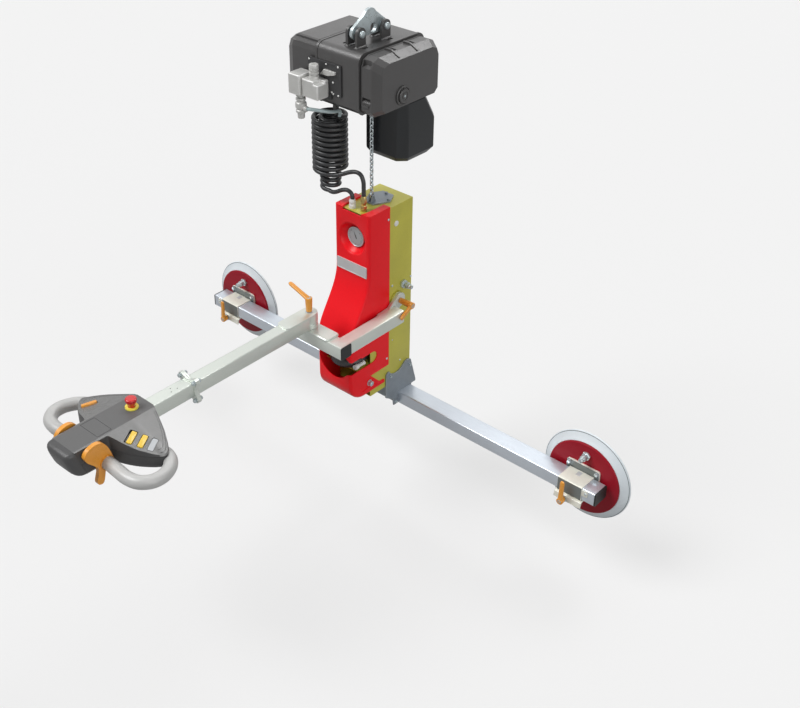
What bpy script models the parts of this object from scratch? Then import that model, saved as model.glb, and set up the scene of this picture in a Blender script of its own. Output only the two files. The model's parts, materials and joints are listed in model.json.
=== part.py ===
"""Vacuum panel lifter on a small chain hoist.

Metres, +Z up. The origin is the centre of the suspension eye, +X runs along the pad beam and the
operator stands on the -Y side. The panel that is lifted stands behind the pads, on the +Y side.
"""
import bmesh
import bpy
from math import cos, radians, sin, tau
from mathutils import Matrix, Vector

# Clearance between pieces that touch
GAP = 0.0003

# Suspension: a flat eye plate between two pairs of lugs
EYE_DIAMETER = 0.036
EYE_PLATE_THICKNESS = 0.012
EYE_PLATE_END_RADIUS = 0.025
EYE_PLATE_CROWN_RADIUS = 0.032
EYE_PLATE_CROWN_Y = -0.012
EYE_PLATE_CROWN_HEIGHT = 0.038
LUG_FRONT_Y = -0.080
LUG_REAR_Y = 0.045
LUG_INSIDE = 0.0165
LUG_THICKNESS = 0.010
LUG_RADIUS = 0.022
LUG_BOLT_DIAMETER = 0.015
LUG_BOLT_HEAD_DIAMETER = 0.025
BOLT_CLEARANCE = 0.0004

# Chain hoist casing
HOIST_TOP_BELOW_EYE = 0.045
HOIST_HEIGHT = 0.215
HOIST_FRONT = -0.145
HOIST_BACK = 0.190
HOIST_EDGE_ROLL = 0.034
HOIST_MIDDLE_LEFT = -0.130
HOIST_MIDDLE_RIGHT = 0.075
HOIST_COVER_LEFT_END = -0.280
HOIST_COVER_RIGHT_END = 0.160
HOIST_COVER_INSET = 0.005
HOIST_COVER_CHAMFER = 0.034
HOIST_CAP_RADIUS = 0.034
HOIST_CAP_HEIGHT = 0.012
HOIST_CAP_Y = -0.020
HOIST_CAP_BELOW_TOP = 0.152

# Control valve on the hoist's front face
VALVE_PLATE_WIDTH = 0.156
VALVE_PLATE_LEFT = -0.161
VALVE_PLATE_HEIGHT = 0.132
VALVE_PLATE_BELOW_TOP = 0.056
VALVE_PLATE_THICKNESS = 0.005
BLOCK_WIDTH = 0.055
BLOCK_DEPTH = 0.066
BLOCK_HEIGHT = 0.074
BLOCK_LEFT = -0.195
BLOCK_BELOW_TOP = 0.106
SECOND_BLOCK_WIDTH = 0.078
SECOND_BLOCK_DEPTH = 0.056
SECOND_BLOCK_HEIGHT = 0.064
TOP_FITTING_RADIUS = 0.016
TOP_FITTING_HEIGHT = 0.052
HOSE_FITTING_RADIUS = 0.018
HOSE_FITTING_LENGTH = 0.096

# Chain and its container
CHAIN_WIRE = 0.005
CHAIN_PITCH = 0.015
CHAIN_OUTER_WIDTH = 0.017
CHAIN_SINK = 0.0004
CHAIN_IN_HOIST = 0.115
CHAIN_WELL_WIDTH = 0.024
CHAIN_WELL_DEPTH = 0.176
CONTAINER_LEFT = -0.058
CONTAINER_RIGHT = 0.130
CONTAINER_FRONT = 0.020
CONTAINER_BACK = 0.222
CONTAINER_HEIGHT = 0.225
CONTAINER_CHAMFER = 0.030
CONTAINER_TOP_TAPER = 0.045
CONTAINER_BOTTOM_TAPER = 0.012

# Spiral air hose and spiral cable
COIL_X = -0.140
COIL_Y = -0.070
COIL_TOP_BELOW_HOIST = 0.065
HOSE_DIAMETER = 0.016
OUTER_COIL_RADIUS = 0.059
INNER_COIL_RADIUS = 0.0325
OUTER_COIL_HEIGHT = 0.211
INNER_COIL_HEIGHT = 0.287
CABLE_GLAND_RADIUS = 0.011

# Lifter body: sheet housing with a moulded cover on its front
DECK_BELOW_EYE = 0.665
HOUSING_HALF_WIDTH = 0.083
HOUSING_FRONT = -0.098
HOUSING_BACK = 0.142
HOUSING_HEIGHT = 0.795
SHEET = 0.003
COVER_WALL = 0.0035
COVER_RISE = 0.008
COVER_SIDE_BACK = 0.006
COVER_FRONT = -0.108
COVER_NOSE = -0.214
COVER_CORNER = 0.012
COVER_INNER_CORNER = 0.006
COVER_ABOVE_BOTTOM = 0.023
COVER_SWEEP_START = 0.245
COVER_SWEEP_END = 0.500
COVER_ARM_WIDTH = 0.032
GAUGE_BELOW_DECK = 0.110
GAUGE_RADIUS = 0.040
GAUGE_THICKNESS = 0.008
CRATER_RADIUS = 0.060
CRATER_DEPTH = 0.028
SLOT_ABOVE_BOTTOM = 0.185
SLOT_HEIGHT = 0.050
SLOT_BACK = -0.063
SLOT_LEFT = -0.045

# Chain anchor on the deck
ANCHOR_PLATE_HALF_WIDTH = 0.052
ANCHOR_PLATE_FRONT = -0.016
ANCHOR_PLATE_BACK = 0.094
ANCHOR_PLATE_THICKNESS = 0.005
ANCHOR_LUG_THICKNESS = 0.005
ANCHOR_LUG_HEIGHT = 0.036
ANCHOR_PIN_DIAMETER = 0.006
ANCHOR_PIN_ABOVE_DECK = 0.026

# Glands on the deck
BRASS_GLAND_X = 0.025
BRASS_GLAND_Y = -0.070
BRASS_GLAND_RADIUS = 0.011
BRASS_GLAND_HEIGHT = 0.060
WHITE_GLAND_X = -0.024
WHITE_GLAND_Y = -0.078
WHITE_GLAND_RADIUS = 0.012
WHITE_GLAND_HEIGHT = 0.035

# Vacuum parts inside the housing
SHELF_ABOVE_BOTTOM = 0.1565
SHELF_FRONT = -0.170
PUMP_RADIUS = 0.048
PUMP_LENGTH = 0.170
RESERVOIR_RADIUS = 0.040
RESERVOIR_LENGTH = 0.240
MANIFOLD_SIZE = (0.090, 0.050, 0.070)
ROLL_RADIUS = 0.050
ROLL_HOSE_RADIUS = 0.0225

# Beam and its saddle
BEAM_LENGTH = 2.070
BEAM_DEPTH = 0.076
BEAM_HEIGHT = 0.055
BEAM_WALL = 0.004
BEAM_FRONT = 0.064
BEAM_BELOW_HOUSING = 0.061
TUBE_CORNER = 0.005
PLUG_THICKNESS = 0.006
PLUG_STUB = 0.020
SADDLE_PLATE = 0.006
SADDLE_LIP = 0.054

# Suction pads and their holders
PAD_SPACING = 1.860
PAD_RADIUS = 0.188
PAD_DISC_RADIUS = 0.153
PAD_CENTRE_BELOW_BEAM_TOP = 0.032
PAD_FACE = 0.184
PAD_DISC_THICKNESS = 0.008
PAD_FACE_WIDTH = 0.008
SLEEVE_WALL = 0.0035
SLEEVE_LENGTH = 0.105
HOLDER_PLATE_WIDTH = 0.143
HOLDER_PLATE_THICKNESS = 0.008
HOLDER_PLATE_RISE = 0.033
HOLDER_PLATE_DROP = 0.085
JAW_LENGTH = 0.117
JAW_DROP = 0.028
NIPPLE_ABOVE_CENTRE = 0.108
NIPPLE_LENGTH = 0.046
NIPPLE_RADIUS = 0.011
NIPPLE_NUT_RADIUS = 0.018

# Handle bracket
BRACKET_TUBE = 0.054
BRACKET_WALL = 0.004
BRACKET_TOP_BELOW_EYE = 1.080
BRACKET_OUTER = 0.155
BRACKET_LEFT = -0.075
BRACKET_FRONT = -0.338
SIDE_TUBE_BACK = 0.015
PIVOT_Y = 0.050
PIVOT_ABOVE_BRACKET = 0.010
PIVOT_PLATE_RADIUS = 0.031
PIVOT_PLATE_THICKNESS = 0.0115
PIVOT_BOSS_RADIUS = 0.034
PIVOT_BOSS_HEIGHT = 0.0067
COVER_PLATE_THICKNESS = 0.0072
COVER_PLATE_RIGHT = 0.090

# Swivel and arm
SWIVEL_X = -0.030
SWIVEL_Y = -0.311
SWIVEL_RADIUS = 0.032
ARM_TUBE = 0.055
ARM_WALL = 0.003
ARM_TOP_PLATE = 0.007
ARM_TOP_PLATE_FRONT = -0.450
ARM_JOINT_Y = -0.8865
ARM_END_Y = -1.105
FLANGE_THICKNESS = 0.008
FLANGE_BOLT_OFFSET = 0.036
FLANGE_LOBE = 0.012
FLANGE_BOLT_DIAMETER = 0.009

# Clamp levers
LEVER_HUB_RADIUS = 0.0105
LEVER_WIDTH = 0.017
LEVER_TIP_WIDTH = 0.013
LEVER_THICKNESS = 0.011
LEVER_STUD_RADIUS = 0.005
SWIVEL_LEVER_HUB = 0.060
SWIVEL_LEVER_REACH = 0.104
TILT_LEVER_HUB = 0.067
TILT_LEVER_REACH = 0.072
PAD_LEVER_HUB = 0.028
PAD_LEVER_REACH = 0.094

# Operator's handle
HANDLE_ABOVE_ARM = 0.019
PART_LINE_BELOW_DECK = 0.0545
HANDLE_DEPTH = 0.106
RIM_BELOW_DECK = 0.047
HANDLE_DECK_HALF = 0.052
HANDLE_BACK = -1.072
NOSE_JOINT_Y = -1.378
NOSE_JOINT_LEAN = 0.33
NOSE_REACH = 0.040
GRIP_RADIUS = 0.0232
GRIP_BELOW_DECK = 0.0795
GRIP_ROOT_Y = -1.300
GRIP_ROOT_X = 0.0655
ESTOP_Y = -1.128
ESTOP_RING_RADIUS = 0.0225
ESTOP_RING_HEIGHT = 0.005
ESTOP_CAP_RADIUS = 0.0195
ESTOP_CAP_HEIGHT = 0.018
ESTOP_STEM_RADIUS = 0.012
ESTOP_STEM_HEIGHT = 0.014
ESTOP_TRAVEL = 0.004
BUTTON_LENGTH = 0.052
BUTTON_WIDTH = 0.018
BUTTON_HEIGHT = 0.011
BUTTON_PROUD = 0.0035
BUTTON_TRAVEL = 0.003
PANEL_SLOPE = radians(16.5)
PANEL_BUTTONS = (0.109, 0.140)
PANEL_BUTTON_Y = (-1.216, -1.198)
HORN_X = -0.148
HORN_Y = -1.192
THUMB_WIDTH = 0.016
THUMB_COLLAR_WALL = 0.003
THUMB_COLLAR_LENGTH = 0.016

# Heights that several pieces share
HOIST_TOP = -HOIST_TOP_BELOW_EYE
HOIST_BOTTOM = HOIST_TOP - HOIST_HEIGHT
COIL_TOP = HOIST_BOTTOM - COIL_TOP_BELOW_HOIST
DECK = -DECK_BELOW_EYE
HOUSING_BOTTOM = DECK - HOUSING_HEIGHT
BEAM_TOP = HOUSING_BOTTOM - BEAM_BELOW_HOUSING
BEAM_BOTTOM = BEAM_TOP - BEAM_HEIGHT
BEAM_BACK = BEAM_FRONT + BEAM_DEPTH
PAD_Z = BEAM_TOP - PAD_CENTRE_BELOW_BEAM_TOP
BRACKET_TOP = -BRACKET_TOP_BELOW_EYE
PIVOT_Z = BRACKET_TOP + PIVOT_ABOVE_BRACKET
CHAIN_INNER_LENGTH = CHAIN_PITCH - CHAIN_SINK
ARM_BOTTOM = BRACKET_TOP + COVER_PLATE_THICKNESS + 0.0008
ARM_TOP = ARM_BOTTOM + ARM_TUBE
HANDLE_DECK = ARM_TOP + HANDLE_ABOVE_ARM
HANDLE_BOTTOM = HANDLE_DECK - HANDLE_DEPTH
PART_LINE = HANDLE_DECK - PART_LINE_BELOW_DECK
GRIP_Z = HANDLE_DECK - GRIP_BELOW_DECK


def finish(name, colour, roughness, metallic=0.0):
    material = bpy.data.materials.new(name)
    material.use_nodes = True
    shader = material.node_tree.nodes["Principled BSDF"]
    shader.inputs["Base Color"].default_value = (*colour, 1.0)
    shader.inputs["Roughness"].default_value = roughness
    shader.inputs["Metallic"].default_value = metallic
    return material


def clear_scene():
    for existing in list(bpy.data.objects):
        bpy.data.objects.remove(existing, do_unlink=True)


def loft(rings, closed=False):
    """Skin a list of rings of points; open lofts get a flat cap at each end."""
    bm = bmesh.new()
    rows = [[bm.verts.new(point) for point in ring] for ring in rings]
    following = rows[1:] + rows[:1] if closed else rows[1:]
    for lower, upper in zip(rows, following):
        count = len(lower)
        for i in range(count):
            j = (i + 1) % count
            bm.faces.new((lower[i], lower[j], upper[j], upper[i]))
    if not closed:
        bm.faces.new(rows[0])
        bm.faces.new(rows[-1])
    bmesh.ops.recalc_face_normals(bm, faces=bm.faces)
    return bm


def place(pair, along, level):
    """A point from an outline's two numbers and its level along the third axis."""
    point = [level, level, level]
    for axis, value in zip([i for i in range(3) if i != "XYZ".index(along)], pair):
        point[axis] = value
    return Vector(point)


def prism(outline, along, low, high):
    return loft([[place(pair, along, level) for pair in outline] for level in (low, high)])


def box(low, high):
    outline = [(low[0], low[1]), (high[0], low[1]), (high[0], high[1]), (low[0], high[1])]
    return prism(outline, "Z", low[2], high[2])


def turned(profile, along, centre, sides=16):
    """Revolve (radius, level) pairs about an axis through the centre."""
    rings = []
    for radius, level in profile:
        ring = [place((centre[0] + radius * cos(tau * i / sides),
                       centre[1] + radius * sin(tau * i / sides)), along, level)
                for i in range(sides)]
        rings.append(ring)
    return loft(rings)


def turned_ring(profile, along, centre, sides=32):
    """Revolve a closed (radius, level) outline that doesn't reach the axis."""
    rings = []
    for i in range(sides):
        turn = tau * i / sides
        rings.append([place((centre[0] + radius * cos(turn), centre[1] + radius * sin(turn)),
                            along, level) for radius, level in profile])
    return loft(rings, closed=True)


def arc(centre, radius, start, end, steps):
    """Points on an arc, angles in degrees."""
    points = []
    for i in range(steps + 1):
        turn = radians(start + (end - start) * i / steps)
        points.append((centre[0] + radius * cos(turn), centre[1] + radius * sin(turn)))
    return points


def rounded(low, high, radius, steps=2):
    """A rectangle with round corners."""
    corners = ((high[0] - radius, high[1] - radius, 0), (low[0] + radius, high[1] - radius, 90),
               (low[0] + radius, low[1] + radius, 180), (high[0] - radius, low[1] + radius, 270))
    outline = []
    for x, y, turn in corners:
        outline += arc((x, y), radius, turn, turn + 90, steps)
    return outline


def spline(points, steps):
    """A smooth curve through the points, with equal steps between each two."""
    path = [Vector(point) for point in points]
    path = [path[0] * 2 - path[1]] + path + [path[-1] * 2 - path[-2]]
    curve = []
    for before, start, end, after in zip(path, path[1:], path[2:], path[3:]):
        for step in range(steps):
            t = step / steps
            curve.append(0.5 * (2 * start + (end - before) * t
                                + (2 * before - 5 * start + 4 * end - after) * t ** 2
                                + (3 * start - before - 3 * end + after) * t ** 3))
    curve.append(path[-2])
    return curve


def sweep(path, radius, sides=9):
    """A round bar along a path that keeps its cross-sections square to the path."""
    rings = []
    side = None
    for i, point in enumerate(path):
        ahead = path[min(i + 1, len(path) - 1)] - path[max(i - 1, 0)]
        ahead.normalize()
        reference = side if side else (Vector((0, 0, 1)) if abs(ahead.z) < 0.9 else Vector((0, 1, 0)))
        side = (reference - ahead * reference.dot(ahead)).normalized()
        other = ahead.cross(side)
        rings.append([point + radius * (side * cos(tau * k / sides) + other * sin(tau * k / sides))
                      for k in range(sides)])
    return loft(rings)


def round_edges(bm, chosen, radius, segments=2):
    """Bevel the edges whose two ends both pass the test."""
    edges = [edge for edge in bm.edges if all(chosen(vert.co) for vert in edge.verts)]
    bmesh.ops.bevel(bm, geom=edges, offset=radius, segments=segments, profile=0.5,
                    affect="EDGES", clamp_overlap=True)
    return bm


def piece(name, bm, material, axis=None):
    """One named solid; a moving one hangs on the empty at its joint."""
    mesh = bpy.data.meshes.new(name)
    bm.to_mesh(mesh)
    bm.free()
    mesh.materials.append(material)
    mesh.shade_smooth()
    mesh.set_sharp_from_angle(angle=radians(35))
    made = bpy.data.objects.new(name, mesh)
    bpy.context.collection.objects.link(made)
    if axis:
        made.parent = axis
        made.matrix_parent_inverse = Matrix.Translation(-axis.location)
    return made


def joint_axis(name, at):
    empty = bpy.data.objects.new(name, None)
    empty.location = at
    empty.empty_display_size = 0.03
    bpy.context.collection.objects.link(empty)
    return empty


def change(target, bm, operation):
    """Cut the target with a hidden tool, or join the tool to it."""
    mesh = bpy.data.meshes.new(target.name + "_tool")
    bm.to_mesh(mesh)
    bm.free()
    tool = bpy.data.objects.new(mesh.name, mesh)
    bpy.context.collection.objects.link(tool)
    tool.hide_render = True
    tool.display_type = "WIRE"
    modifier = target.modifiers.new(operation.lower(), "BOOLEAN")
    modifier.operation = operation
    modifier.solver = "EXACT"
    modifier.object = tool
    return target


def cut(target, bm):
    return change(target, bm, "DIFFERENCE")


def fuse(target, bm):
    return change(target, bm, "UNION")


def hoist_outline(inset, roll_steps):
    """Side view of the hoist casing, Y and Z, with rolled upper edges and cut lower ones."""
    front = HOIST_FRONT + inset
    back = HOIST_BACK - inset
    top = HOIST_TOP - inset
    roll = HOIST_EDGE_ROLL
    chamfer = HOIST_EDGE_ROLL / 2
    outline = [(front, HOIST_BOTTOM + inset + chamfer)]
    outline += arc((front + roll, top - roll), roll, 180, 90, roll_steps)
    outline += arc((back - roll, top - roll), roll, 90, 0, roll_steps)
    outline += [(back, HOIST_BOTTOM + inset + chamfer), (back - chamfer, HOIST_BOTTOM + inset),
                (front + chamfer, HOIST_BOTTOM + inset)]
    return outline


def make_hoist_housing(grey):
    housing = piece("hoist_housing", prism(hoist_outline(0, 5), "X", HOIST_MIDDLE_LEFT,
                                           HOIST_MIDDLE_RIGHT), grey)
    half = CHAIN_WELL_WIDTH / 2
    cut(housing, box((-half, -half, HOIST_BOTTOM - 0.01), (half, half, HOIST_BOTTOM + CHAIN_WELL_DEPTH)))
    for y in (LUG_FRONT_Y, LUG_REAR_Y):
        for x in (-LUG_INSIDE - LUG_THICKNESS, LUG_INSIDE):
            outline = [(y - LUG_RADIUS, HOIST_TOP - 0.004)] + arc((y, 0), LUG_RADIUS, 180, 0, 6)
            outline.append((y + LUG_RADIUS, HOIST_TOP - 0.004))
            fuse(housing, prism(outline, "X", x, x + LUG_THICKNESS))
        hole = LUG_BOLT_DIAMETER / 2 + BOLT_CLEARANCE
        cut(housing, turned([(hole, -0.05), (hole, 0.05)], "X", (y, 0), 12))
    gland_x = COIL_X + INNER_COIL_RADIUS
    fuse(housing, turned([(CABLE_GLAND_RADIUS, HOIST_BOTTOM + 0.004), (CABLE_GLAND_RADIUS, COIL_TOP + 0.02),
                          (HOSE_DIAMETER / 2, COIL_TOP + GAP)], "Z", (gland_x, COIL_Y), 12))
    return housing


def make_end_cover(name, grey, inner, outer):
    """A moulded end: full section at the joint, and a chamfer round its outer face."""
    towards = 1 if outer > inner else -1
    rings = []
    for level, inset in ((inner, HOIST_COVER_INSET), (outer - towards * HOIST_COVER_CHAMFER, HOIST_COVER_INSET),
                         (outer, HOIST_COVER_INSET + HOIST_COVER_CHAMFER / 2)):
        rings.append([place(pair, "X", level) for pair in hoist_outline(inset, 2)])
    return piece(name, loft(rings), grey)


def make_hoist(grey, bolt_steel):
    make_hoist_housing(grey)
    make_end_cover("hoist_cover_left", grey, HOIST_MIDDLE_LEFT - GAP, HOIST_COVER_LEFT_END)
    right = make_end_cover("hoist_cover_right", grey, HOIST_MIDDLE_RIGHT + GAP, HOIST_COVER_RIGHT_END)
    cap = HOIST_CAP_RADIUS
    fuse(right, turned([(cap, HOIST_COVER_RIGHT_END - 0.01), (cap, HOIST_COVER_RIGHT_END + HOIST_CAP_HEIGHT / 2),
                        (cap * 0.72, HOIST_COVER_RIGHT_END + HOIST_CAP_HEIGHT / 2),
                        (cap * 0.66, HOIST_COVER_RIGHT_END + HOIST_CAP_HEIGHT)],
                       "X", (HOIST_CAP_Y, HOIST_TOP - HOIST_CAP_BELOW_TOP), 16))
    make_suspension(bolt_steel)


def make_suspension(steel):
    """The eye plate is an arch over two lug bolts with the load eye in its middle."""
    end = EYE_PLATE_END_RADIUS
    outline = arc((LUG_REAR_Y, 0), end, -60, 65, 5)
    outline += arc((EYE_PLATE_CROWN_Y, EYE_PLATE_CROWN_HEIGHT), EYE_PLATE_CROWN_RADIUS, 30, 150, 8)
    outline += arc((LUG_FRONT_Y, 0), end, 115, 240, 5)
    thick = EYE_PLATE_THICKNESS / 2
    plate = piece("suspension_plate", prism(outline, "X", -thick, thick), steel)
    bolt_hole = LUG_BOLT_DIAMETER / 2 + BOLT_CLEARANCE
    cut(plate, turned([(EYE_DIAMETER / 2, -0.05), (EYE_DIAMETER / 2, 0.05)], "X", (0, 0), 24))
    for y in (LUG_FRONT_Y, LUG_REAR_Y):
        sleeve = LUG_BOLT_HEAD_DIAMETER / 2
        fuse(plate, turned([(sleeve, GAP - LUG_INSIDE), (sleeve, LUG_INSIDE - GAP)], "X", (y, 0), 14))
        cut(plate, turned([(bolt_hole, -0.05), (bolt_hole, 0.05)], "X", (y, 0), 12))
    reach = LUG_INSIDE + LUG_THICKNESS + GAP
    head = LUG_BOLT_HEAD_DIAMETER / 2
    shank = LUG_BOLT_DIAMETER / 2
    for name, y in (("suspension_bolt_front", LUG_FRONT_Y), ("suspension_bolt_rear", LUG_REAR_Y)):
        profile = [(head, -reach - 0.009), (head, -reach), (shank, -reach), (shank, reach),
                   (head, reach), (head, reach + 0.010)]
        piece(name, turned(profile, "X", (y, 0), 12), steel)


def make_valve(grey, light):
    """Mounting plate with two blocks: the hose leaves the left one downwards."""
    top = HOIST_TOP - VALVE_PLATE_BELOW_TOP
    back = HOIST_FRONT - GAP
    face = back - VALVE_PLATE_THICKNESS
    piece("valve_plate", box((VALVE_PLATE_LEFT, face, top - VALVE_PLATE_HEIGHT),
                             (VALVE_PLATE_LEFT + VALVE_PLATE_WIDTH, back, top)), grey)
    seat = face - GAP
    high = HOIST_TOP - BLOCK_BELOW_TOP
    low = high - BLOCK_HEIGHT
    left = round_edges(box((BLOCK_LEFT, seat - BLOCK_DEPTH, low), (BLOCK_LEFT + BLOCK_WIDTH, seat, high)),
                       lambda co: co.y < seat - BLOCK_DEPTH / 2, 0.005)
    block = piece("valve_block_left", left, light)
    x = BLOCK_LEFT + BLOCK_WIDTH / 2
    y = seat - BLOCK_DEPTH / 2
    radius = HOSE_FITTING_RADIUS
    bottom = low - HOSE_FITTING_LENGTH
    fuse(block, turned([(radius, low + 0.004), (radius, low - 0.018), (radius * 0.8, low - 0.022),
                        (radius * 0.8, low - 0.034), (radius * 1.15, low - 0.040), (radius * 1.15, low - 0.072),
                        (radius * 0.7, low - 0.080), (radius * 0.7, bottom)], "Z", (x, y), 12))
    second_left = BLOCK_LEFT + BLOCK_WIDTH + GAP
    second_high = low + SECOND_BLOCK_HEIGHT
    right = round_edges(box((second_left, seat - SECOND_BLOCK_DEPTH, low),
                            (second_left + SECOND_BLOCK_WIDTH, seat, second_high)),
                        lambda co: co.y < seat - SECOND_BLOCK_DEPTH / 2, 0.006)
    second = piece("valve_block_right", right, light)
    x = second_left + SECOND_BLOCK_WIDTH * 0.45
    radius = TOP_FITTING_RADIUS
    top = second_high + TOP_FITTING_HEIGHT
    fuse(second, turned([(radius * 1.15, second_high - 0.004), (radius * 1.15, second_high + 0.010),
                         (radius * 0.85, second_high + 0.014), (radius * 0.85, second_high + 0.022),
                         (radius, second_high + 0.026), (radius, top)], "Z",
                        (x, seat - SECOND_BLOCK_DEPTH / 2), 12))


def make_container(black):
    """Chain container: a moulded bucket with cut corners that narrows to the hoist."""
    top = HOIST_BOTTOM - GAP
    bottom = top - CONTAINER_HEIGHT
    chamfer = CONTAINER_CHAMFER

    def section(level, inset, back_inset):
        left = CONTAINER_LEFT + inset
        right = CONTAINER_RIGHT - inset
        front = CONTAINER_FRONT + inset
        back = CONTAINER_BACK - inset - back_inset
        outline = [(left + chamfer / 2, front), (right - chamfer, front), (right, front + chamfer),
                   (right, back - chamfer), (right - chamfer, back), (left + chamfer, back),
                   (left, back - chamfer), (left, front + chamfer / 2)]
        return [place(pair, "Z", level) for pair in outline]

    rings = [section(bottom, CONTAINER_BOTTOM_TAPER, 0.014), section(bottom + 0.022, 0, 0),
             section(bottom + CONTAINER_HEIGHT * 0.60, 0, 0), section(top, 0.004, CONTAINER_TOP_TAPER)]
    piece("chain_container", loft(rings), black)


def chain_link(centre, along_x):
    """One oval link of round wire, lying in the XZ plane or in the YZ plane."""
    wire = CHAIN_WIRE / 2
    bend = CHAIN_OUTER_WIDTH / 2 - wire
    rise = CHAIN_INNER_LENGTH / 2 - (bend - wire)
    middle = arc((0, rise), bend, 0, 180, 2) + arc((0, -rise), bend, 180, 360, 2)
    rings = []
    for i, (u, v) in enumerate(middle):
        before = Vector(middle[i - 1])
        after = Vector(middle[(i + 1) % len(middle)])
        ahead = (after - before).normalized()
        out = Vector((ahead.y, -ahead.x))
        ring = []
        for k in range(4):
            turn = tau * k / 4
            across = out * (wire * cos(turn))
            depth = wire * sin(turn)
            flat = (u + across.x, v + across.y)
            offset = (flat[0], depth, flat[1]) if along_x else (depth, flat[0], flat[1])
            ring.append(centre + Vector(offset))
        rings.append(ring)
    return rings


def chain_half(low, high, pitch, first, along_x):
    """Every second link of the chain, as separate loops in one mesh."""
    bm = bmesh.new()
    level = low + first * pitch
    while level < high:
        rows = [[bm.verts.new(point) for point in ring]
                for ring in chain_link(Vector((0, 0, level)), along_x)]
        for lower, upper in zip(rows, rows[1:] + rows[:1]):
            for i in range(len(lower)):
                j = (i + 1) % len(lower)
                bm.faces.new((lower[i], lower[j], upper[j], upper[i]))
        level += 2 * pitch
    bmesh.ops.recalc_face_normals(bm, faces=bm.faces)
    return bm


def make_chain(zinc, steel):
    """The taut chain and the bracket that ties its last link to the deck."""
    pitch = CHAIN_PITCH
    pin_z = DECK + ANCHOR_PIN_ABOVE_DECK
    seat = (ANCHOR_PIN_DIAMETER / 2 + GAP) / sin(radians(45))
    first_centre = pin_z - seat + CHAIN_INNER_LENGTH / 2
    top = HOIST_BOTTOM + CHAIN_IN_HOIST
    chain = piece("chain", chain_half(first_centre, top, pitch, 0, False), zinc)
    fuse(chain, chain_half(first_centre, top, pitch, 1, True))
    base = DECK + GAP
    outline = [(-ANCHOR_PLATE_HALF_WIDTH, 0.048), (-0.022, ANCHOR_PLATE_FRONT), (0.022, ANCHOR_PLATE_FRONT),
               (ANCHOR_PLATE_HALF_WIDTH, 0.048), (0.026, ANCHOR_PLATE_BACK), (-0.026, ANCHOR_PLATE_BACK)]
    anchor = piece("chain_anchor", prism(outline, "Z", base, base + ANCHOR_PLATE_THICKNESS), steel)
    inner = CHAIN_WIRE / 2 + 0.002
    for x in (-inner - ANCHOR_LUG_THICKNESS, inner):
        lug = [(-0.013, base + 0.002)] + arc((0, pin_z), 0.0055, 165, 15, 5) + [(0.013, base + 0.002)]
        fuse(anchor, prism(lug, "X", x, x + ANCHOR_LUG_THICKNESS))
    reach = inner + ANCHOR_LUG_THICKNESS + 0.003
    radius = ANCHOR_PIN_DIAMETER / 2
    fuse(anchor, turned([(radius, -reach), (radius, reach)], "X", (0, pin_z), 12))


def make_coils(hose_black, tube_blue):
    """Outer spiral air hose, inner spiral cable, and their plain leads."""
    half = HOSE_DIAMETER / 2
    centre = (COIL_X, COIL_Y)
    inner = OUTER_COIL_RADIUS - half
    outer = OUTER_COIL_RADIUS + half
    outer_bottom = COIL_TOP - OUTER_COIL_HEIGHT
    inner_bottom = COIL_TOP - INNER_COIL_HEIGHT
    piece("air_hose_coil", turned_ring([(inner, outer_bottom), (outer, outer_bottom), (outer, COIL_TOP),
                                        (inner, COIL_TOP)], "Z", centre, 22), hose_black)
    radius = INNER_COIL_RADIUS + half
    piece("cable_coil", turned([(radius, inner_bottom), (radius, COIL_TOP)], "Z", centre, 24), hose_black)
    fitting_y = HOIST_FRONT - 2 * GAP - VALVE_PLATE_THICKNESS - BLOCK_DEPTH / 2
    lead_z = HOIST_TOP - BLOCK_BELOW_TOP - BLOCK_HEIGHT - 0.056
    lead_x = BLOCK_LEFT + BLOCK_WIDTH / 2 + HOSE_FITTING_RADIUS * 1.15 + 0.002
    feed = [(lead_x, fitting_y, lead_z), (lead_x + 0.024, fitting_y + 0.006, lead_z + 0.002),
            (lead_x + 0.052, fitting_y + 0.030, lead_z - 0.003), (lead_x + 0.068, fitting_y + 0.062, lead_z - 0.012),
            (COIL_X + OUTER_COIL_RADIUS, COIL_Y - 0.010, COIL_TOP + 0.022),
            (COIL_X + OUTER_COIL_RADIUS, COIL_Y - 0.010, COIL_TOP + 0.002)]
    piece("air_feed_tube", sweep(spline(feed, 3), 0.0065, 6), tube_blue)
    drop = outer_bottom - half - GAP
    start = (COIL_X + OUTER_COIL_RADIUS * cos(radians(-60)), COIL_Y + OUTER_COIL_RADIUS * sin(radians(-60)))
    gland_top = DECK + GAP + BRASS_GLAND_HEIGHT
    air_lead = [(*start, drop), (-0.086, -0.108, drop - 0.001), (-0.062, -0.093, drop + 0.006),
                (-0.036, -0.081, drop + 0.018), (-0.010, -0.074, drop + 0.025), (0.012, -0.071, drop + 0.019),
                (0.0235, BRASS_GLAND_Y, drop - 0.004), (BRASS_GLAND_X, BRASS_GLAND_Y, drop - 0.032),
                (BRASS_GLAND_X, BRASS_GLAND_Y, gland_top + 0.001)]
    piece("air_hose_lead", sweep(spline(air_lead, 3), half, 6), hose_black)
    drop = inner_bottom - half - GAP
    start = (COIL_X + INNER_COIL_RADIUS * cos(radians(-60)), COIL_Y + INNER_COIL_RADIUS * sin(radians(-60)))
    gland_top = DECK + GAP + WHITE_GLAND_HEIGHT
    cable_lead = [(*start, drop), (-0.106, -0.101, drop - 0.001), (-0.088, -0.096, drop + 0.004),
                  (-0.066, -0.088, drop + 0.016), (-0.046, -0.082, drop + 0.020), (-0.030, -0.079, drop + 0.013),
                  (WHITE_GLAND_X, WHITE_GLAND_Y, drop + 0.001), (WHITE_GLAND_X, WHITE_GLAND_Y, gland_top + 0.001)]
    piece("cable_lead", sweep(spline(cable_lead, 3), half, 6), hose_black)


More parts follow.
